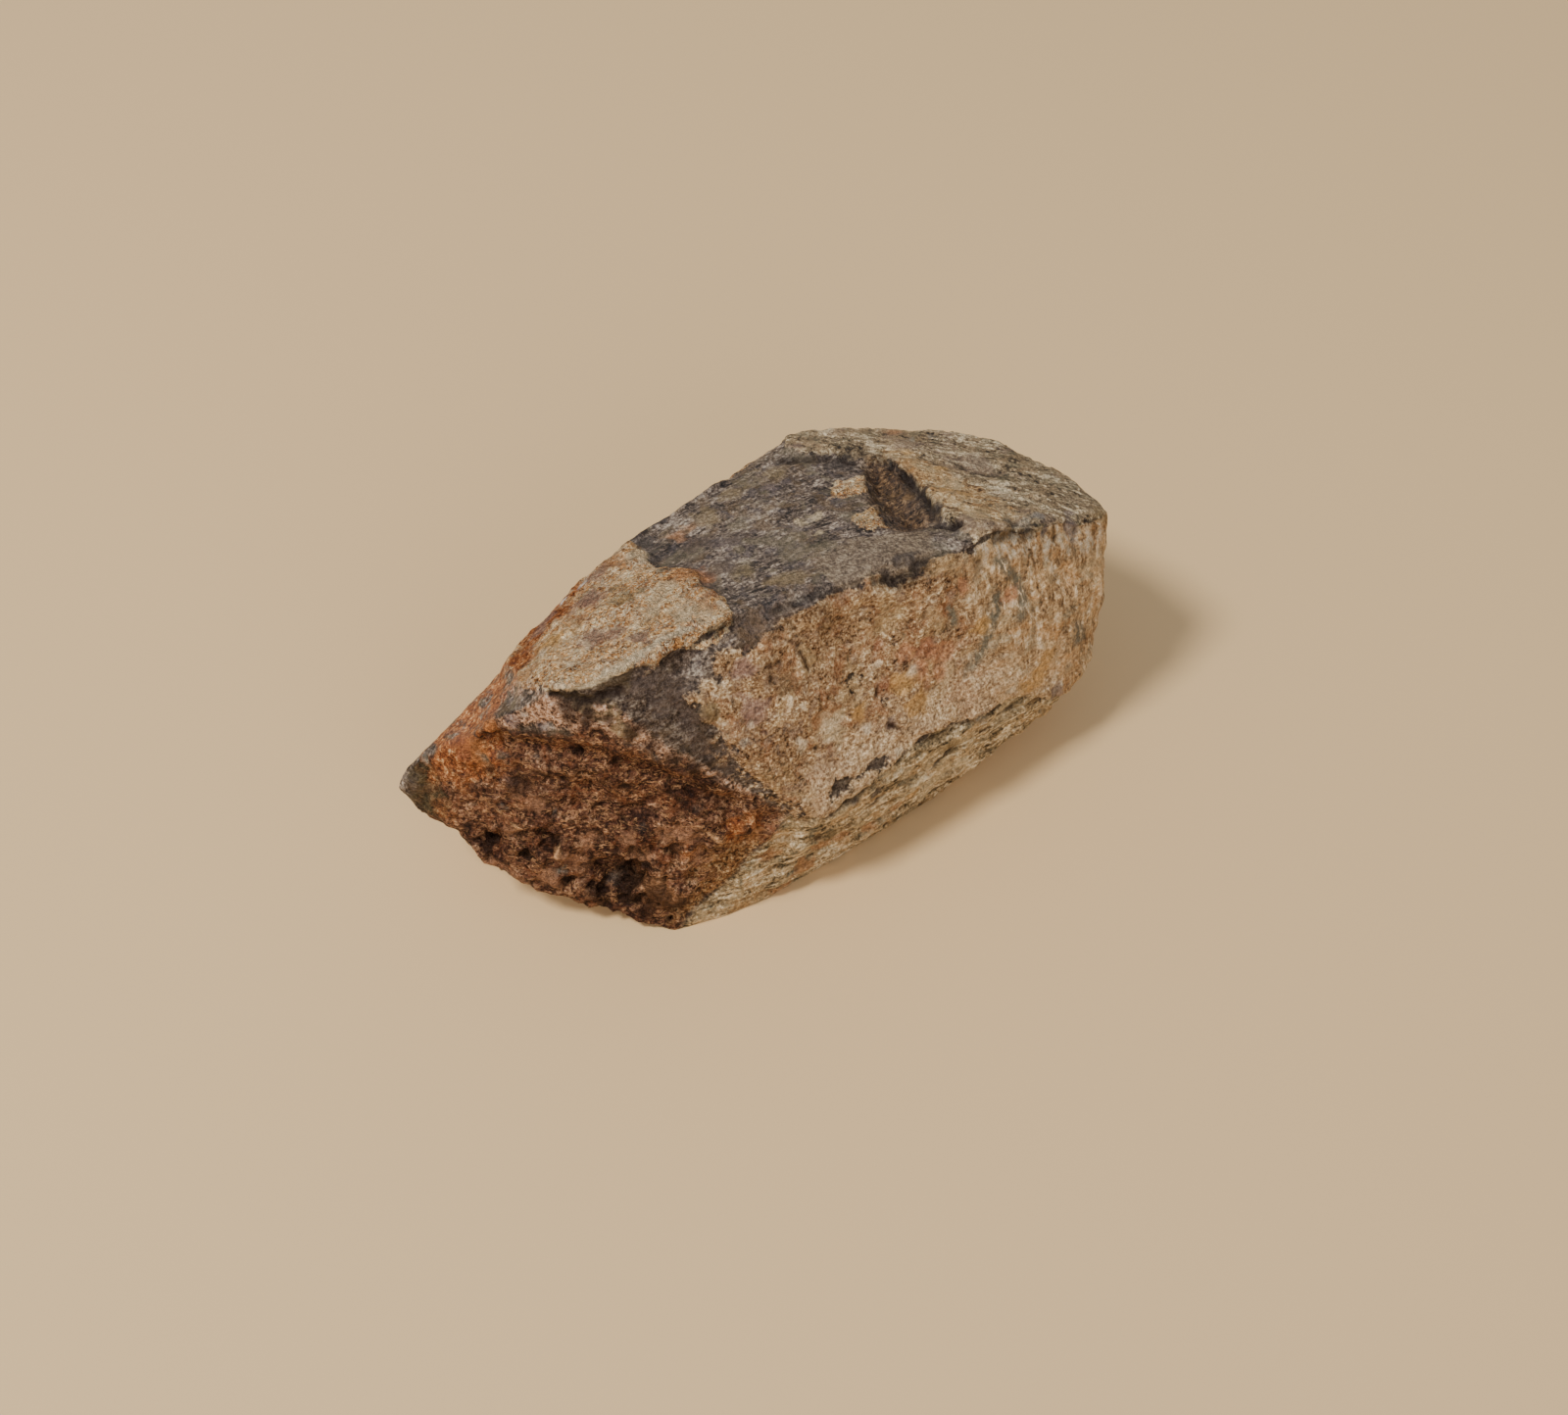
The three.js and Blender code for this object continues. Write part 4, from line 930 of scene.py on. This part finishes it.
# %% Layers of the lower front and of the right end
lower_front = shades(sum_of((laminae, 0.40), (dust, 0.24), (sand, 0.12), (cloud, 0.24)), [
    (0.29, 60, 52, 40), (0.42, 134, 114, 84), (0.54, 188, 160, 120), (0.69, 238, 220, 186),
])
lower_front = stained(lower_front, (184, 144, 96), (122, 116, 96), (206, 182, 142), 0.5)
olive_bands = shades(sum_of((end_laminae, 0.38), (dust, 0.24), (sand, 0.12), (cloud, 0.26)), [
    (0.30, 42, 34, 25), (0.43, 114, 95, 70), (0.55, 168, 144, 110), (0.69, 230, 210, 174),
])
olive_bands = stained(olive_bands, (168, 138, 102), (116, 106, 82), (138, 114, 98), 0.5)
pale_bands = shades(sum_of((end_laminae, 0.44), (dust, 0.28), (sand, 0.28)), [
    (0.29, 82, 58, 34), (0.43, 152, 114, 72), (0.55, 188, 152, 105), (0.70, 224, 200, 160),
])
pale_bands = stained(pale_bands, (186, 134, 78), (138, 128, 104), (202, 176, 134), 0.5)
near_notch = do("ADD", kept("cream_bands"), do("SUBTRACT", grit, 0.5))
right_end = mixed(spread(near_notch, -0.6, 0.6), olive_bands, pale_bands)
notch_colour = shades(sum_of((along, 0.35), (sand, 0.35), (dust, 0.3)), [
    (0.22, 32, 23, 18), (0.45, 74, 53, 36), (0.60, 108, 80, 52), (0.80, 156, 122, 84),
])

# %% The broken end and the shelf above it
# darker in the hollows of the relief: painted shade
broken_value = sum_of(
    (broken_grain, 0.24), (dust, 0.26), (grit, 0.24), (cloud, 0.26), (kept("hollow"), -0.08)
)
broken_end = shades(broken_value, [
    (0.24, 30, 19, 15), (0.42, 74, 46, 34), (0.57, 122, 82, 59), (0.76, 196, 154, 120),
])
grains = shades(sum_of((sand, 0.5), (dust, 0.3), (grit, 0.2)), [
    (0.22, 86, 54, 32), (0.42, 146, 100, 60), (0.58, 184, 142, 96), (0.80, 220, 192, 150),
])
broken_end = stained(broken_end, (128, 76, 48), (50, 32, 28), (92, 60, 46), 0.55)
patchy_threads = times(threads, spread(blots, 0.2, 0.6))
broken_end = mixed(times(patchy_threads, 0.75), broken_end, srgb(204, 152, 108))
broken_end = mixed(times(kept("tan_grains"), 0.75), broken_end, grains)
# painted shade: near black in the fine pores of the broken end
broken_end = mixed(times(shaded_pores, 0.7), broken_end, srgb(34, 20, 14))
broken_end = mixed(kept("tip"), broken_end, mixed(sand, srgb(46, 38, 27), srgb(106, 90, 64)))
shelf_stone = shades(sum_of((sand, 0.4), (dust, 0.35), (broken_grain, 0.25)), [
    (0.26, 50, 35, 29), (0.42, 132, 96, 72), (0.56, 198, 154, 121), (0.76, 206, 182, 162),
])
mottled = times(kept("far_crust"), spread(grit, 0.50, 0.64))
rusty = shades(sum_of((sand, 0.4), (dust, 0.3), (grit, 0.3)), [
    (0.20, 74, 44, 36), (0.42, 138, 78, 44), (0.58, 182, 114, 66), (0.80, 224, 180, 132),
])
print("nodes for the minerals and crusts:", len(tree.nodes))

# %% Lay the zones over each other
fray = sum_of((sand, 0.35), (dust, 0.15), (grit, 0.3))


def zone(name, soft=0.12):
    """1 inside a zone and 0 outside it, with an edge that frays into grains."""
    return spread(do("ADD", kept(name), do("SUBTRACT", fray, 0.4)), -soft, soft)


colour = dark_mineral
for name, soft, share, look in [
    ("smooth_flake", 0.3, 0.8, flake_colour), ("tan", 0.12, 1.0, tan_crust),
    ("cream", 0.12, 1.0, cream_crust), ("banded", 0.12, 1.0, right_end),
    ("notch", 1.1, 0.9, notch_colour), ("layered", 0.5, 1.0, lower_front),
    ("shelf", 0.3, 1.0, shelf_stone),
]:
    colour = mixed(times(zone(name, soft), share), colour, look)
colour = mixed(mottled, colour, granular)
olive = mixed(sand, srgb(88, 72, 48), srgb(156, 134, 98))
olive_patches = times(zone("olive_crust", 0.15), spread(blots, 0.15, 0.5))
colour = mixed(times(olive_patches, 0.75), colour, olive)
colour = mixed(zone("broken", 0.4), colour, broken_end)
colour = mixed(times(kept("rust"), spread(blots, 0.25, 0.6)), colour, rusty)
texture = sum_of((sand, 0.45), (dust, 0.30), (grit, 0.25))
tinted = scaled(kept("tint", "Color"), do("ADD", 0.45, times(texture, 1.1)))
breaks = sum_of((sand, 0.5), (grit, 0.6), (kept("cover"), 1.3))
ragged_cover = times(kept("cover"), spread(breaks, 0.65, 1.25))
colour = mixed(ragged_cover, colour, tinted)
# painted shade along the grooves and under the lips and ledges
colour = mixed(times(kept("dark"), 0.70), colour, srgb(40, 31, 25))
# painted shade in the hollows of the relief
colour = mixed(times(spread(kept("hollow"), 0.15, 0.9), 0.45), colour, srgb(44, 31, 24))
colour = scaled(colour, do("ADD", 0.68, sum_of((dust, 0.40), (sand, 0.24))))
# painted highlights, near white, where the glint spots lie
colour = mixed(kept("glint"), colour, srgb(250, 246, 238))

# %% Fine bumps and gloss
BUMP_DEPTH = 0.26 * MM
GLOSS = 0.36  # bare mineral
CRUST_GLOSS_LOSS = 0.26
crusted = do("MAXIMUM", zone("tan"), zone("cream"), clamp=True)
curled = sum_of((net, 0.5), (curls, 0.5), (dark_curls, -0.4))
height = sum_of(
    (sand, 0.50), (dust, 0.30), (grit, 0.55), (times(upright, kept("fibrous")), 0.5),
    (along, 0.25), (times(curled, zone("cream")), 1.0), (times(threads, zone("broken", 0.4)), 0.6),
    (laminae, 0.35), (times(shaded_pores, zone("broken", 0.4)), -0.5),
)
bump = tree.nodes.new("ShaderNodeBump")
bump.inputs["Strength"].default_value = 0.85
bump.inputs["Distance"].default_value = BUMP_DEPTH
put(bump.inputs["Height"], height)

shader = tree.nodes.new("ShaderNodeBsdfPrincipled")
put(shader.inputs["Base Color"], colour)
put(shader.inputs["Roughness"], do("ADD", 0.52, times(crusted, 0.36)))
dull = do("MAXIMUM", do("MAXIMUM", crusted, zone("broken", 0.4)), kept("steep"))
put(shader.inputs["Specular IOR Level"], do("SUBTRACT", GLOSS, times(dull, CRUST_GLOSS_LOSS)))
put(shader.inputs["Normal"], bump.outputs["Normal"])
output = tree.nodes.new("ShaderNodeOutputMaterial")
put(output.inputs["Surface"], shader.outputs["BSDF"])
mesh.materials.clear()
mesh.materials.append(material)
mesh.shade_smooth()
print("material nodes:", len(tree.nodes))

# %% [markdown]
# ## Floor, light and camera
#
# The stone lies on a plain pale surface under a large soft light from the left, with a bright room
# around it. A small hard lamp would draw the relief more strongly, but the real light is soft, with
# a shadow that melts away to the right. The camera looks down from the front left.

# %% Floor
bpy.ops.object.select_all(action="DESELECT")
bpy.ops.mesh.primitive_plane_add(size=3.0, location=(0, 0, 0))
floor = bpy.context.active_object
floor.name = "floor"
pale = bpy.data.materials.new("pale floor")
pale.use_nodes = True
pale.node_tree.nodes["Principled BSDF"].inputs["Base Color"].default_value = srgb(238, 202, 150)
pale.node_tree.nodes["Principled BSDF"].inputs["Roughness"].default_value = 0.7
floor.data.materials.append(pale)
print("floor, m across:", round(floor.dimensions.x, 1))


# %% Lights
def soft_light(name, direction, distance, size, watts, tint):
    """A round lamp that shines on the stone from this direction."""
    lamp = bpy.data.lights.new(name, "AREA")
    lamp.shape = "DISK"
    lamp.size = size
    lamp.energy = watts
    lamp.color = tint
    holder = bpy.data.objects.new(name, lamp)
    bpy.context.scene.collection.objects.link(holder)
    towards = Vector(direction).normalized()
    holder.location = towards * distance + Vector((0, 0, 0.01))
    holder.rotation_euler = towards.to_track_quat("Z", "Y").to_euler()


soft_light("key", (-0.50, -0.02, 0.86), 0.60, 0.13, 2.75, (1.0, 0.97, 0.92))
soft_light("front fill", (-0.05, -0.92, 0.42), 0.80, 0.5, 1.5, (1.0, 0.97, 0.93))
room = bpy.data.worlds.new("bright room")
room.use_nodes = True
room.node_tree.nodes["Background"].inputs["Color"].default_value = (0.95, 0.97, 1.0, 1)
room.node_tree.nodes["Background"].inputs["Strength"].default_value = 0.40
bpy.context.scene.world = room
print("lights:", [lamp.name for lamp in bpy.data.lights])

# %% Camera
LOOK_FROM = Vector((-59.22, -132.63, 176.19)) * MM
LOOK_AT = Vector((4.65, 2.98, 0.0)) * MM
ROLL = -1.75  # degrees
eye = bpy.data.cameras.new("camera")
eye.sensor_width = 36.0
eye.lens = 58.66
eye.clip_start = 0.01
camera = bpy.data.objects.new("camera", eye)
bpy.context.scene.collection.objects.link(camera)
aim = (LOOK_FROM - LOOK_AT).to_track_quat("Z", "Y").to_matrix()
turned = (aim @ Matrix.Rotation(math.radians(ROLL), 3, "Z")).to_4x4()
camera.matrix_world = Matrix.Translation(LOOK_FROM) @ turned
bpy.context.scene.camera = camera
print("camera to its aim, mm:", round((LOOK_FROM - LOOK_AT).length / MM))
